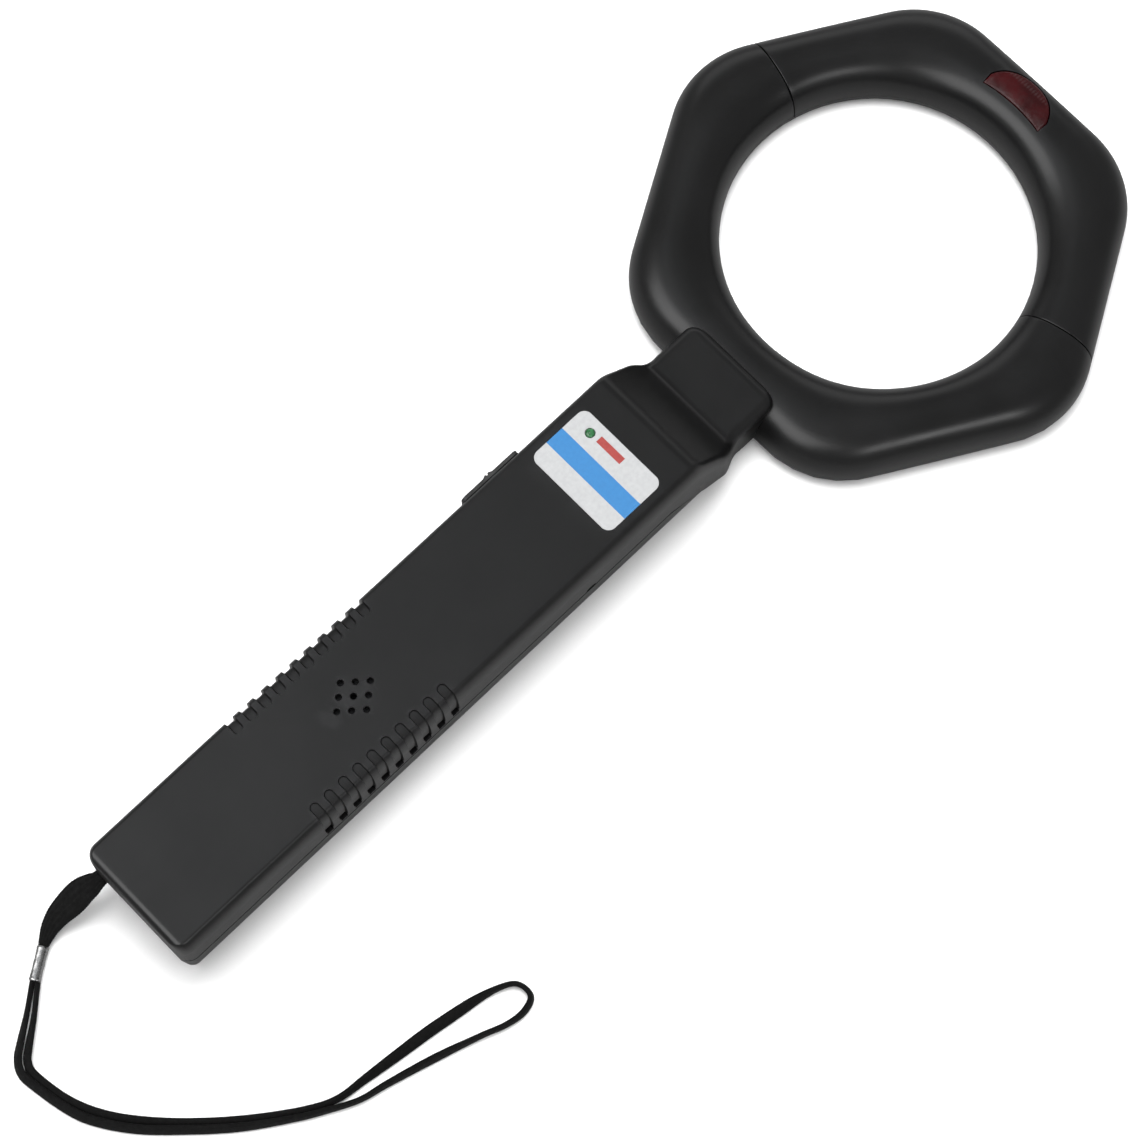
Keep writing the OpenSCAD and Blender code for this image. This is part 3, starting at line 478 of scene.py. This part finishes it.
def add_lens():
    """A red half-moon that follows the dome and rounds down at its rim."""
    outline = np.array(lens_outline(-0.02))
    centre = np.array([RING_X + 66.8, 0.0])
    n = len(outline)
    insets = [0, 0.05, 0.12, 0.22, 0.35, 0.55, 0.9, 1.5, 2.4, 3.6, 5.0]
    reach = np.linalg.norm(outline - centre, axis=1)
    verts = []
    for t in (5.0, 2.0):
        for x, y in outline:
            verts.append((x, y, dome_z(x, y) - t * 0.5 - 0.45))
    for inset in insets:
        for k, (x, y) in enumerate(outline):
            f = 1 - min(0.93, inset / reach[k] * (1 if inset < 1 else 1.2))
            px, py = centre + (outline[k] - centre) * f
            drop = 0.45 * (1 - min(1, inset / 0.55)) ** 2
            verts.append((px, py, dome_z(px, py) - drop + 0.02))
    rows = 2 + len(insets)
    faces = strip_faces(rows, n, close_u=True)
    faces += [tuple(range(n))[::-1], tuple((rows - 1) * n + i for i in range(n))]
    lens = new_piece("alarm_lens_red", verts, faces)
    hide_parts("alarm_lens")
    return lens


# ---- Shape of the handle's upper shell ----


def smooth_min(a, b, k):
    h = np.clip(0.5 + 0.5 * (b - a) / k, 0, 1)
    return b * (1 - h) + a * h - k * h * (1 - h)


def top_height(d):
    """Height of the handle's top at distance d: flat, slope to the neck, collar."""
    slope = HANDLE_H - (d - SLOPE_AT) * SLOPE
    h = smooth_min(np.float64(HANDLE_H), slope, 2.6)
    return float(-smooth_min(-h, np.float64(-COLLAR_H), 1.8))


def half_width(d):
    """Half of the upper shell's width at distance d, over its parting line."""
    if d < END_R:
        return HALF_W - edge_inset(d, END_R)
    if d < NECK_FROM:
        return HALF_W
    if d < NECK_TO:
        t = (d - NECK_FROM) / (NECK_TO - NECK_FROM)
        return HALF_W - (HALF_W - HALF_COLLAR) * (1 - math.cos(math.pi * t)) / 2
    if d < COLLAR_END - COLLAR_CORNER_R:
        return HALF_COLLAR
    return HALF_COLLAR - edge_inset(COLLAR_END - d, COLLAR_CORNER_R)


def parting(d):
    """Height of the line between the handle's shells at distance d."""
    t = min(1.0, max(0.0, (d - 210) / 36))
    return SPLIT + (RING_SPLIT + 0.5 - SPLIT) * t


def shell_stations():
    """The distances d at which the upper shell gets a section: closer where it turns."""
    out = [END_R * (1 - math.cos(math.radians(a))) for a in np.linspace(0, 90, 13)]
    out += list(np.arange(7, 208, 3.0))
    out += list(np.arange(209, 258.2, 0.7))
    turn = [COLLAR_CORNER_R * math.sin(math.radians(a)) for a in np.linspace(0, 90, 14)]
    return out + [COLLAR_END - COLLAR_CORNER_R + t for t in turn]


def outer_section(d):
    """Half of the upper shell's outline at d, from the parting up to the middle: (y, z)."""
    w = half_width(d)
    high = top_height(d) - edge_inset(d, 2.8)
    blend = min(1.0, max(0.0, (d - NECK_FROM) / (NECK_TO - NECK_FROM)))
    r = EDGE_R + (COLLAR_R - EDGE_R) * blend
    if d > COLLAR_END - COLLAR_R:
        high -= edge_inset(COLLAR_END - d, COLLAR_R)
    top_w = w - TOP_DRAFT * (1 - blend)
    low = parting(d)
    if d > RING_NEAR:
        z = dome_z(d - HALF_L, w)
        low = z if z is not None else low
    tall = r * (EDGE_TALL + (1 - EDGE_TALL) * blend)
    low = min(low, high - r - 0.02)
    tall = min(tall, high - low - 0.02)
    step = PARTING_STEP * min(1, max(0, (226 - d) / 8)) * min(1, d / 3)
    climb = min(1.0, (high - tall - low) / 4)
    pts = [(w - step, low), (w - step, low + 0.75 * climb), (w, low + 0.95 * climb)]
    pts += [(w + (top_w - w) * t, low + (high - tall - low) * t) for t in (0.5, 0.65, 0.8, 0.9)]
    for k in range(17):
        a = math.radians(90 * k / 16)
        pts.append((top_w - r + r * math.cos(a), high - tall + tall * math.sin(a)))
    inner = top_w - r
    pts += [(max(inner - s, 0.4), high) for s in (0.4, 2.5, 5, 8, 11, 15)]
    return pts + [(0.0, high)]


def grip_groove(d, side):
    """The cutter of one grip groove: a round tip on the top, over the edge and down the wall."""
    deep = GROOVE_DEPTH if side < 0 else GROOVE_DEPTH_LEFT
    above = 1.3
    tall = EDGE_R * EDGE_TALL
    corner_y, corner_z = HALF_W - TOP_DRAFT - EDGE_R, HANDLE_H - tall
    path = []
    for k in range(13):
        run = GROOVE_W / 2 * (1 - math.cos(math.radians(90 * k / 12)))
        path.append((GROOVE_TIP + run, HANDLE_H - deep, 0.0, 1.0))
    path.append((corner_y, HANDLE_H - deep, 0.0, 1.0))
    for k in range(1, 13):
        a = math.radians(90 - 90 * k / 12)
        ny, nz = tall * math.cos(a), EDGE_R * math.sin(a)
        ny, nz = ny / math.hypot(ny, nz), nz / math.hypot(ny, nz)
        y = corner_y + EDGE_R * math.cos(a) - deep * ny
        path.append((y, corner_z + tall * math.sin(a) - deep * nz, ny, nz))
    path.append((HALF_W - TOP_DRAFT / 2 - deep, GROOVE_FOOT, 1.0, 0.0))
    verts = []
    for y, z, ny, nz in path:
        run = min(GROOVE_W / 2, max(0.02, y - GROOVE_TIP)) if nz == 1.0 else GROOVE_W / 2
        half = math.sqrt(max(0.01, (GROOVE_W / 2) ** 2 - (GROOVE_W / 2 - run) ** 2))
        low_half, high_half = half - GROOVE_DRAFT, half + 0.3
        for up, across in ((0, low_half), (0, -low_half), (above, -high_half), (above, high_half)):
            across = math.copysign(max(abs(across), 0.03), across)
            verts.append((d - HALF_L + across, side * (y + ny * up), z + nz * up))
    faces = strip_faces(len(path), 4, close_u=True)
    end = 4 * (len(path) - 1)
    faces += [(0, 1, 2, 3), (end + 3, end + 2, end + 1, end)]
    return new_piece("groove_cut", verts, faces, body=None, smooth=False)


def add_upper_shell():
    stations = shell_stations()
    outer_rows, inner_rows = [], []
    for d in stations:
        x = d - HALF_L
        half = outer_section(d)
        row = []
        for y, z in half:
            if d > RING_NEAR:
                floor = dome_z(x, y)
                if floor is not None:
                    z = max(z, floor + 0.03)
            row.append((x, y, z))
        outer_rows.append(row + [(a, -b, c) for a, b, c in row[-2::-1]])
        inner_rows.append(inner_section(d, row))
    n_out, n_in = len(outer_rows[0]), len(inner_rows[0])
    m = len(stations)
    verts = [v for row in outer_rows for v in row] + [v for row in inner_rows for v in row]
    base = m * n_out
    faces = strip_faces(m, n_out)
    faces += [tuple(base + i for i in f[::-1]) for f in strip_faces(m, n_in)]
    for j in range(m - 1):
        faces.append((j * n_out, (j + 1) * n_out, base + (j + 1) * n_in, base + j * n_in))
        e, f = n_out - 1, n_in - 1
        faces.append(
            (
                (j + 1) * n_out + e,
                j * n_out + e,
                base + j * n_in + f,
                base + (j + 1) * n_in + f,
            )
        )
    last, last_in = (m - 1) * n_out, base + (m - 1) * n_in
    faces.append(tuple(range(n_out))[::-1])
    faces.append(tuple(base + i for i in range(n_in)))
    faces.append((0, n_out - 1, base + n_in - 1, base))
    faces.append(
        tuple(last + i for i in range(n_out)) + tuple(last_in + i for i in range(n_in - 1, -1, -1))
    )
    shell = new_piece("handle_upper_shell", verts, faces)
    cut(shell, shell_cutters())
    sharpen(shell, 38)
    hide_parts("handle_top_shell")
    return shell


def inner_section(d, outer):
    """The room inside the shell at d; over the ring it is the ring's own surface."""
    x = d - HALF_L
    half = []
    if d < 250.7:
        x_in = x if d > WALL else WALL - HALF_L + d * 0.05
        w, low = half_width(max(d, 4.5)) - WALL, parting(d)
        high = top_height(d) - WALL
        half = [(w, low), (w - 0.2, high - 1.6), (w - 1.6, high), (w * 0.5, high), (0.0, high)]
        half = [(x_in, y, z) for y, z in half]
    else:
        w = half_width(d)
        for y in (w, w - 0.6, w - 2.4, w * 0.5, 0.0):
            z = dome_z(x, y) if d > RING_NEAR else None
            half.append((x, y, parting(d) if z is None else z))
        half[0] = (x, w - 0.02, min(half[0][2], outer[0][2]))
    return half + [(a, -b, c) for a, b, c in half[-2::-1]]


def shell_cutters():
    """The solids taken out of the upper shell: grooves, pockets, grille, label's bed, light, windows."""
    cutters = []
    for k in range(GROOVE_COUNT):
        d = GROOVE_START + k * GROOVE_PITCH
        for side in (-1, 1):
            cutters.append(grip_groove(d, side))
            middle, tall = (POCKET_LOW + POCKET_HIGH) / 2, POCKET_HIGH - POCKET_LOW
            pocket = rounded_rect(d - HALF_L, middle, POCKET_W, tall, 0.35, 3)
            y0, y1 = sorted((side * (HALF_W - POCKET_DEPTH), side * (HALF_W + 1)))
            cutters.append(side_prism("pocket_cut", pocket, y0, y1))
    for i in (-1, 0, 1):
        for j in (-1, 0, 1):
            x = GRILLE_AT - HALF_L + (j - i) * GRILLE_ALONG
            y = -(i + j) * GRILLE_ACROSS
            hole = lathe(
                "grille_cut",
                [(0, -6), (GRILLE_R, -6), (GRILLE_R, -0.14), (1.2, 0.01), (1.2, 2), (0, 2)],
                (x, y, HANDLE_H), body=None, steps=32,
            )
            cutters.append(hole)
    cutters.append(
        prism(
            "label_cut",
            rounded_rect(LABEL_AT - HALF_L, 0, LABEL_L + 0.3, LABEL_W + 0.3, 3.1),
            HANDLE_H - 0.4, HANDLE_H + 2,
        )
    )
    cutters.append(
        lathe("led_cut", [(0, -5), (1.7, -5), (1.7, 2), (0, 2)],
              (LED_AT - HALF_L, LED_Y, HANDLE_H), body=None, steps=32)
    )
    switch_x = SWITCH_AT - HALF_L
    window = rounded_rect(switch_x, SWITCH_Z, SWITCH_L, SWITCH_TALL, 0.6, 4)
    cutters.append(side_prism("window_cut", window, HALF_W - 5, HALF_W + 3))
    flange = rounded_rect(switch_x, SWITCH_Z, SWITCH_L + 1.8, SWITCH_TALL + 1.6, 2, 6)
    cutters.append(side_prism("flange_cut", flange, HALF_W - 0.3, HALF_W + 3))
    slot = arc(TRIMMER_AT - HALF_L + 1, TRIMMER_Z + 0.15, 1, -90, 90, 10)
    slot += arc(TRIMMER_AT - HALF_L - 1, TRIMMER_Z + 0.15, 1, 90, 270, 10)
    cutters.append(side_prism("trimmer_cut", slot, -HALF_W - 3, -HALF_W + 4))
    return cutters


def side_prism(name, outline, y0, y1):
    """A closed prism along Y over an outline of (x, z)."""
    n = len(outline)
    verts = [(x, y0, z) for x, z in outline] + [(x, y1, z) for x, z in outline]
    faces = [tuple(range(n)), tuple(range(n, 2 * n))[::-1]]
    faces += [(n + i, n + (i + 1) % n, (i + 1) % n, i) for i in range(n)]
    return new_piece(name, verts, faces, body=None, smooth=False)


# ---- Label and power light ----


def add_label():
    """The label's plate, with its stripe and its bar as faces of their own colour."""
    outline = rounded_rect(LABEL_AT - HALF_L, 0, LABEL_L, LABEL_W, 3.0, 12)
    plate = prism("label_face", outline, HANDLE_H - 0.38, HANDLE_H + 0.06)
    cut(
        plate,
        [lathe("plate_cut", [(0, -3), (1.75, -3), (1.75, 3), (0, 3)],
               (LED_AT - HALF_L, LED_Y, HANDLE_H), body=None, steps=40)],
    )
    bm = bmesh.new()
    bm.from_mesh(plate.data)
    cuts = [
        ((STRIPE_FROM, 0, 0), (1, 0, 0)), ((STRIPE_TO, 0, 0), (1, 0, 0)),
        ((BAR_FROM, 0, 0), (1, 0, 0)), ((BAR_TO, 0, 0), (1, 0, 0)),
        ((0, BAR_LEFT, 0), (0, 1, 0)), ((0, BAR_RIGHT, 0), (0, 1, 0)),
    ]
    for (cx, cy, cz), normal in cuts:
        point = ((cx - HALF_L) * MM if normal[0] else 0, cy * MM, cz)
        geom = bm.verts[:] + bm.edges[:] + bm.faces[:]
        bmesh.ops.bisect_plane(bm, geom=geom, dist=1e-8, plane_co=point, plane_no=normal)
    top = (HANDLE_H + 0.05) * MM
    for f in bm.faces:
        c = f.calc_center_median()
        d, y = c.x / MM + HALF_L, c.y / MM
        f.material_index = 0
        if c.z > top:
            if STRIPE_FROM < d < STRIPE_TO:
                f.material_index = 1
            elif BAR_FROM < d < BAR_TO and BAR_RIGHT < y < BAR_LEFT:
                f.material_index = 2
    bm.to_mesh(plate.data)
    bm.free()
    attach(plate, "base")
    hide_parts("label_plate")
    return plate


def add_power_led():
    """The power light's dome."""
    profile = [(0, -3.0), (1.55, -3.0), (1.55, 0.1)]
    profile += [
        (1.5 * math.cos(math.radians(a)), 0.12 + 0.66 * math.sin(math.radians(a)))
        for a in np.linspace(0, 90, 14)
    ]
    led = lathe("power_light", profile, (LED_AT - HALF_L, LED_Y, HANDLE_H))
    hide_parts("power_led")
    return led


ring_covers = add_ring()
lens = add_lens()
upper_shell = add_upper_shell()
label = add_label()
power_light = add_power_led()

# ---- Materials ----


class Nodes:
    """A short way to build one material's node tree."""

    def __init__(self, name):
        self.mat = bpy.data.materials.new(name)
        self.mat.use_nodes = True
        self.tree = self.mat.node_tree
        self.tree.nodes.clear()
        self.out = self.add("ShaderNodeOutputMaterial")
        self.bsdf = self.add("ShaderNodeBsdfPrincipled")
        self.link(self.bsdf.outputs[0], self.out.inputs[0])
        self.coord = self.add("ShaderNodeTexCoord").outputs["Object"]

    def add(self, kind, **values):
        node = self.tree.nodes.new(kind)
        for key, value in values.items():
            setattr(node, key, value)
        return node

    def link(self, a, b):
        self.tree.links.new(a, b)

    def put(self, name, value):
        socket = self.bsdf.inputs[name]
        if hasattr(value, "is_output"):
            self.link(value, socket)
        else:
            socket.default_value = value

    def noise(self, scale, detail=4.0, rough=0.5):
        """Noise whose scale is the number of cells in a metre."""
        n = self.add("ShaderNodeTexNoise")
        n.inputs["Scale"].default_value = scale
        n.inputs["Detail"].default_value = detail
        n.inputs["Roughness"].default_value = rough
        self.link(self.coord, n.inputs["Vector"])
        return n.outputs["Fac"]

    def ramp(self, value, a, b, lo, hi):
        """value from a..b mapped to lo..hi, held at both ends."""
        n = self.add("ShaderNodeMapRange")
        n.clamp = True
        self.link(value, n.inputs["Value"])
        for key, v in (("From Min", a), ("From Max", b), ("To Min", lo), ("To Max", hi)):
            n.inputs[key].default_value = v
        return n.outputs[0]

    def math(self, op, a, b=0.0):
        n = self.add("ShaderNodeMath", operation=op)
        for k, v in enumerate((a, b)):
            if hasattr(v, "is_output"):
                self.link(v, n.inputs[k])
            else:
                n.inputs[k].default_value = v
        return n.outputs[0]

    def mix(self, fac, a, b):
        n = self.add("ShaderNodeMix", data_type="RGBA")
        for k, v in ((0, fac), (6, a), (7, b)):
            if hasattr(v, "is_output"):
                self.link(v, n.inputs[k])
            elif k == 0:
                n.inputs[0].default_value = v
            else:
                n.inputs[k].default_value = (*v, 1.0)
        return n.outputs[2]

    def bump(self, height, distance, strength=1.0, under=None):
        n = self.add("ShaderNodeBump")
        n.inputs["Strength"].default_value = strength
        n.inputs["Distance"].default_value = distance
        self.link(height, n.inputs["Height"])
        if under is not None:
            self.link(under, n.inputs["Normal"])
        return n.outputs[0]

    def edges(self):
        """About 1 on convex edges and 0 on flats."""
        n = self.add("ShaderNodeNewGeometry")
        return self.ramp(n.outputs["Pointiness"], 0.505, 0.56, 0.0, 1.0)


def moulded(name, dark, light, rough_lo, rough_hi, wear=None, gloss=0.3):
    """Moulded plastic: fine spark-eroded grain, uneven sheen, faint dust and lighter edges."""
    m = Nodes(name)
    cloud = m.noise(38, 5.0, 0.6)
    fine = m.noise(900, 3.0, 0.6)
    tone = m.mix(m.ramp(cloud, 0.35, 0.65, 0, 1), dark, light)
    speck = m.ramp(m.noise(1500, 2.0, 0.5), 0.70, 0.78, 0, 0.35)
    tone = m.mix(speck, tone, tuple(c * 1.6 for c in light))
    if wear:
        worn = m.math("MULTIPLY", m.edges(), m.ramp(m.noise(220, 4.0, 0.6), 0.35, 0.65, 0.25, 1.0))
        tone = m.mix(worn, tone, wear)
    m.put("Base Color", tone)
    rough = m.ramp(m.math("ADD", cloud, m.math("MULTIPLY", fine, 0.35)), 0.5, 0.85, rough_lo, rough_hi)
    m.put("Roughness", rough)
    grainy = m.bump(m.noise(2600, 3.0, 0.6), 0.00003, 0.6)
    m.put("Normal", m.bump(m.noise(60, 2.0, 0.5), 0.00025, 0.10, under=grainy))
    m.put("IOR", 1.5)
    m.put("Specular IOR Level", gloss)
    return m.mat


def cloth(name, base, light):
    m = Nodes(name)
    fibre = m.noise(5200, 4.0, 0.7)
    m.put("Base Color", m.mix(m.ramp(fibre, 0.35, 0.7, 0, 1), base, light))
    m.put("Roughness", m.ramp(m.noise(700, 3.0), 0.3, 0.7, 0.72, 0.95))
    m.put("Specular IOR Level", 0.2)
    m.put("Sheen Weight", 0.02)
    m.put("Sheen Roughness", 0.5)
    m.put("Normal", m.bump(fibre, 0.00012, 0.7))
    return m.mat


def metal(name, tone, rough_lo, rough_hi, scale=1400):
    m = Nodes(name)
    m.put("Metallic", 1.0)
    patches = m.ramp(m.noise(420, 4.0), 0.3, 0.7, 0, 1)
    m.put("Base Color", m.mix(patches, tone, tuple(c * 0.8 for c in tone)))
    m.put("Roughness", m.ramp(m.noise(scale, 4.0), 0.3, 0.7, rough_lo, rough_hi))
    m.put("Normal", m.bump(m.noise(scale * 2, 3.0), 0.00002, 0.5))
    return m.mat


def clear_red():
    m = Nodes("red_lens")
    lines = m.add("ShaderNodeTexWave", wave_type="BANDS", bands_direction="Y")
    lines.inputs["Scale"].default_value = 260
    lines.inputs["Distortion"].default_value = 0.4
    m.link(m.coord, lines.inputs["Vector"])
    depth = m.ramp(m.noise(160, 3.0), 0.35, 0.65, 0, 1)
    m.put("Base Color", m.mix(depth, (0.027, 0.0012, 0.002), (0.050, 0.002, 0.0034)))
    m.put("Roughness", m.ramp(m.noise(600, 3.0), 0.3, 0.7, 0.10, 0.22))
    m.put("Transmission Weight", 0.35)
    m.put("IOR", 1.49)
    m.put("Specular IOR Level", 0.25)
    m.put("Coat Weight", 0.08)
    m.put("Coat Roughness", 0.1)
    m.put("Normal", m.bump(lines.outputs["Fac"], 0.00008, 0.25))
    return m.mat


def clear_green():
    m = Nodes("green_lens")
    depth = m.ramp(m.noise(900, 3.0), 0.35, 0.65, 0, 1)
    m.put("Base Color", m.mix(depth, (0.015, 0.10, 0.03), (0.04, 0.20, 0.07)))
    m.put("Roughness", m.ramp(m.noise(1500, 3.0), 0.3, 0.7, 0.08, 0.2))
    m.put("Transmission Weight", 0.3)
    m.put("Coat Weight", 0.5)
    m.put("Normal", m.bump(m.noise(1800, 2.0), 0.00002, 0.4))
    return m.mat


def printed(name, dark, light, rough=0.34):
    """Printed label film: even ink, faint mottling and a soft gloss."""
    m = Nodes(name)
    m.put("Base Color", m.mix(m.ramp(m.noise(700, 4.0), 0.3, 0.7, 0, 1), dark, light))
    m.put("Roughness", m.ramp(m.noise(300, 3.0), 0.3, 0.7, rough - 0.06, rough + 0.08))
    m.put("Normal", m.bump(m.noise(1200, 3.0), 0.00002, 0.5))
    return m.mat


def wound():
    """Enamelled wire, wound round the ring's axis."""
    m = Nodes("copper_winding")
    sep = m.add("ShaderNodeSeparateXYZ")
    m.link(m.coord, sep.inputs[0])
    dx = m.math("SUBTRACT", sep.outputs[0], RING_X * MM)
    r = m.math("SQRT", m.math("ADD", m.math("MULTIPLY", dx, dx),
                              m.math("MULTIPLY", sep.outputs[1], sep.outputs[1])))
    turns = m.math("SINE", m.math("MULTIPLY", r, 2 * math.pi / 0.0004))
    layers = m.math("SINE", m.math("MULTIPLY", sep.outputs[2], 2 * math.pi / 0.0004))
    m.put("Metallic", 0.9)
    m.put("Base Color", m.mix(m.noise(500, 3.0), (0.42, 0.13, 0.04), (0.62, 0.24, 0.09)))
    m.put("Roughness", m.ramp(m.noise(900, 3.0), 0.3, 0.7, 0.25, 0.4))
    m.put("Normal", m.bump(m.math("ADD", turns, layers), 0.00006, 0.8))
    return m.mat


def board_green():
    m = Nodes("board_fr4")
    brick = m.add("ShaderNodeTexBrick")
    brick.inputs["Scale"].default_value = 260
    brick.inputs["Mortar Size"].default_value = 0.06
    m.link(m.coord, brick.inputs["Vector"])
    tone = m.mix(m.ramp(m.noise(300, 3.0), 0.3, 0.7, 0, 1), (0.01, 0.10, 0.035), (0.02, 0.16, 0.06))
    m.put("Base Color", m.mix(m.math("MULTIPLY", brick.outputs["Fac"], 0.5), tone, (0.05, 0.24, 0.10)))
    m.put("Roughness", 0.35)
    m.put("Normal", m.bump(brick.outputs["Fac"], 0.00004, 0.5))
    return m.mat


BLACK = moulded("black_abs", (0.0020, 0.0020, 0.0021), (0.0032, 0.0032, 0.0034), 0.28, 0.35,
                wear=(0.008, 0.008, 0.0085), gloss=0.56)
FINISH = {
    "shell_plastic": BLACK,
    "trim_black": moulded("black_trim", (0.006, 0.006, 0.006), (0.010, 0.010, 0.010), 0.28, 0.42,
                          wear=(0.03, 0.03, 0.03)),
    "red_lens": clear_red(),
    "green_lens": clear_green(),
    "label": printed("label_silver", (0.33, 0.335, 0.34), (0.37, 0.375, 0.38)),
    "natural_plastic": moulded("natural_nylon", (0.62, 0.56, 0.42), (0.72, 0.66, 0.52), 0.4, 0.55),
    "copper": wound(),
    "board": board_green(),
    "steel": metal("zinc_steel", (0.55, 0.56, 0.58), 0.28, 0.45),
    "nickel": metal("nickel_sleeve", (0.50, 0.50, 0.50), 0.16, 0.32),
    "brass": metal("brass", (0.72, 0.52, 0.22), 0.25, 0.4),
    "blue_plastic": moulded("blue_trimmer", (0.02, 0.10, 0.42), (0.03, 0.14, 0.52), 0.35, 0.5),
    "component_black": moulded("epoxy_black", (0.012, 0.012, 0.013), (0.018, 0.018, 0.02), 0.45, 0.6),
    "component_blue": moulded("capacitor_blue", (0.03, 0.12, 0.40), (0.04, 0.17, 0.50), 0.25, 0.4),
    "battery_case": metal("battery_can", (0.30, 0.30, 0.32), 0.3, 0.45),
    "wire_red": moulded("wire_red_pvc", (0.36, 0.02, 0.02), (0.46, 0.03, 0.03), 0.35, 0.5),
    "wire_yellow": moulded("wire_yellow_pvc", (0.60, 0.42, 0.04), (0.70, 0.50, 0.06), 0.35, 0.5),
    "webbing": cloth("black_webbing", (0.0010, 0.0010, 0.0010), (0.004, 0.004, 0.004)),
}
BLUE_INK = printed("label_blue", (0.0115, 0.135, 0.34), (0.014, 0.15, 0.37))
RED_INK = printed("label_red", (0.24, 0.023, 0.02), (0.28, 0.032, 0.027))


def dress(obj, *materials):
    obj.data.materials.clear()
    for m in materials:
        obj.data.materials.append(m)


slot_of = {entry["node"]: entry["material_slot"] for entry in frame["record"]["subparts"]}
for name, obj in nodes.items():
    dress(obj, FINISH.get(slot_of.get(name), BLACK))
    obj.data.shade_smooth()
    obj.data.set_sharp_from_angle(angle=math.radians(32))

dress(ring_covers[0], BLACK)
dress(ring_covers[1], BLACK)
dress(upper_shell, BLACK)
dress(lens, FINISH["red_lens"])
dress(power_light, FINISH["green_lens"])
for index, ink in enumerate((FINISH["label"], BLUE_INK, RED_INK)):
    label.data.materials.append(ink)
for piece, slot_name in zip(strap, ("webbing", "webbing", "nickel")):
    dress(piece, FINISH[slot_name])

# ---- Floor, light and world ----


def add_sheet(name, half_x, half_y, z, material):
    """A flat sheet under the object."""
    corners = [(-half_x, -half_y, 0), (half_x, -half_y, 0), (half_x, half_y, 0), (-half_x, half_y, 0)]
    mesh = bpy.data.meshes.new(name)
    mesh.from_pydata(corners, [], [(0, 1, 2, 3)])
    sheet = bpy.data.objects.new(name, mesh)
    sheet.location = (0, 0, z)
    scene.collection.objects.link(sheet)
    mesh.materials.append(material)
    return sheet


def paper_material(name, low, high):
    m = Nodes(name)
    m.put("Base Color", m.mix(m.ramp(m.noise(900, 3.0), 0.3, 0.7, 0, 1), (low,) * 3, (high,) * 3))
    m.put("Roughness", 0.9)
    m.put("Specular IOR Level", 0.1)
    return m.mat


def add_light(name, at, size, power, kind, tone=(1, 1, 1)):
    """A soft box aimed at the middle. A matt one only lights, a gloss one only shows in reflections."""
    data = bpy.data.lights.new(name, "AREA")
    data.shape = "RECTANGLE"
    data.size, data.size_y = size
    data.energy = power
    data.color = tone
    lamp = bpy.data.objects.new(name, data)
    scene.collection.objects.link(lamp)
    lamp.location = at
    lamp.visible_glossy = kind != "matt"
    lamp.visible_diffuse = kind != "gloss"
    lamp.rotation_mode = "QUATERNION"
    lamp.rotation_quaternion = (-Vector(at)).to_track_quat("-Z", "Y")


# The camera and the matt surfaces see a white floor.
# The glossy ones see only a small grey card under the object.
floor = add_sheet("floor", 6.0, 6.0, -0.0004, paper_material("paper_white", 0.925, 0.935))
floor.visible_glossy = False
card = add_sheet("grey_card", 0.30, 0.13, -0.0003, paper_material("card_grey", 0.22, 0.25))
card.visible_camera = card.visible_diffuse = card.visible_shadow = False

world = bpy.data.worlds.new("world")
world.use_nodes = True
world.node_tree.nodes["Background"].inputs[0].default_value = (1, 1, 1, 1)
world.node_tree.nodes["Background"].inputs[1].default_value = 0.26
scene.world = world

add_light("key_from_above", (0.20, 0.37, 2.36), (0.9, 0.9), 36, "matt")
add_light("fill_from_above", (0.10, 0.20, 2.40), (3.2, 3.2), 96, "matt")
add_light("end_softbox", (-1.22, 0.39, 1.53), (2.3, 1.4), 26, "gloss")
add_light("front_softbox", (-0.39, -1.61, 1.12), (0.6, 0.6), 4.8, "gloss")
add_light("back_softbox", (1.40, 1.43, 0.75), (2.6, 1.0), 4.9, "gloss")
add_light("top_softbox", (-0.20, 0.55, 2.10), (1.4, 0.9), 2.2, "gloss", (0.94, 0.97, 1.0))
scene.view_settings.view_transform = "Standard"
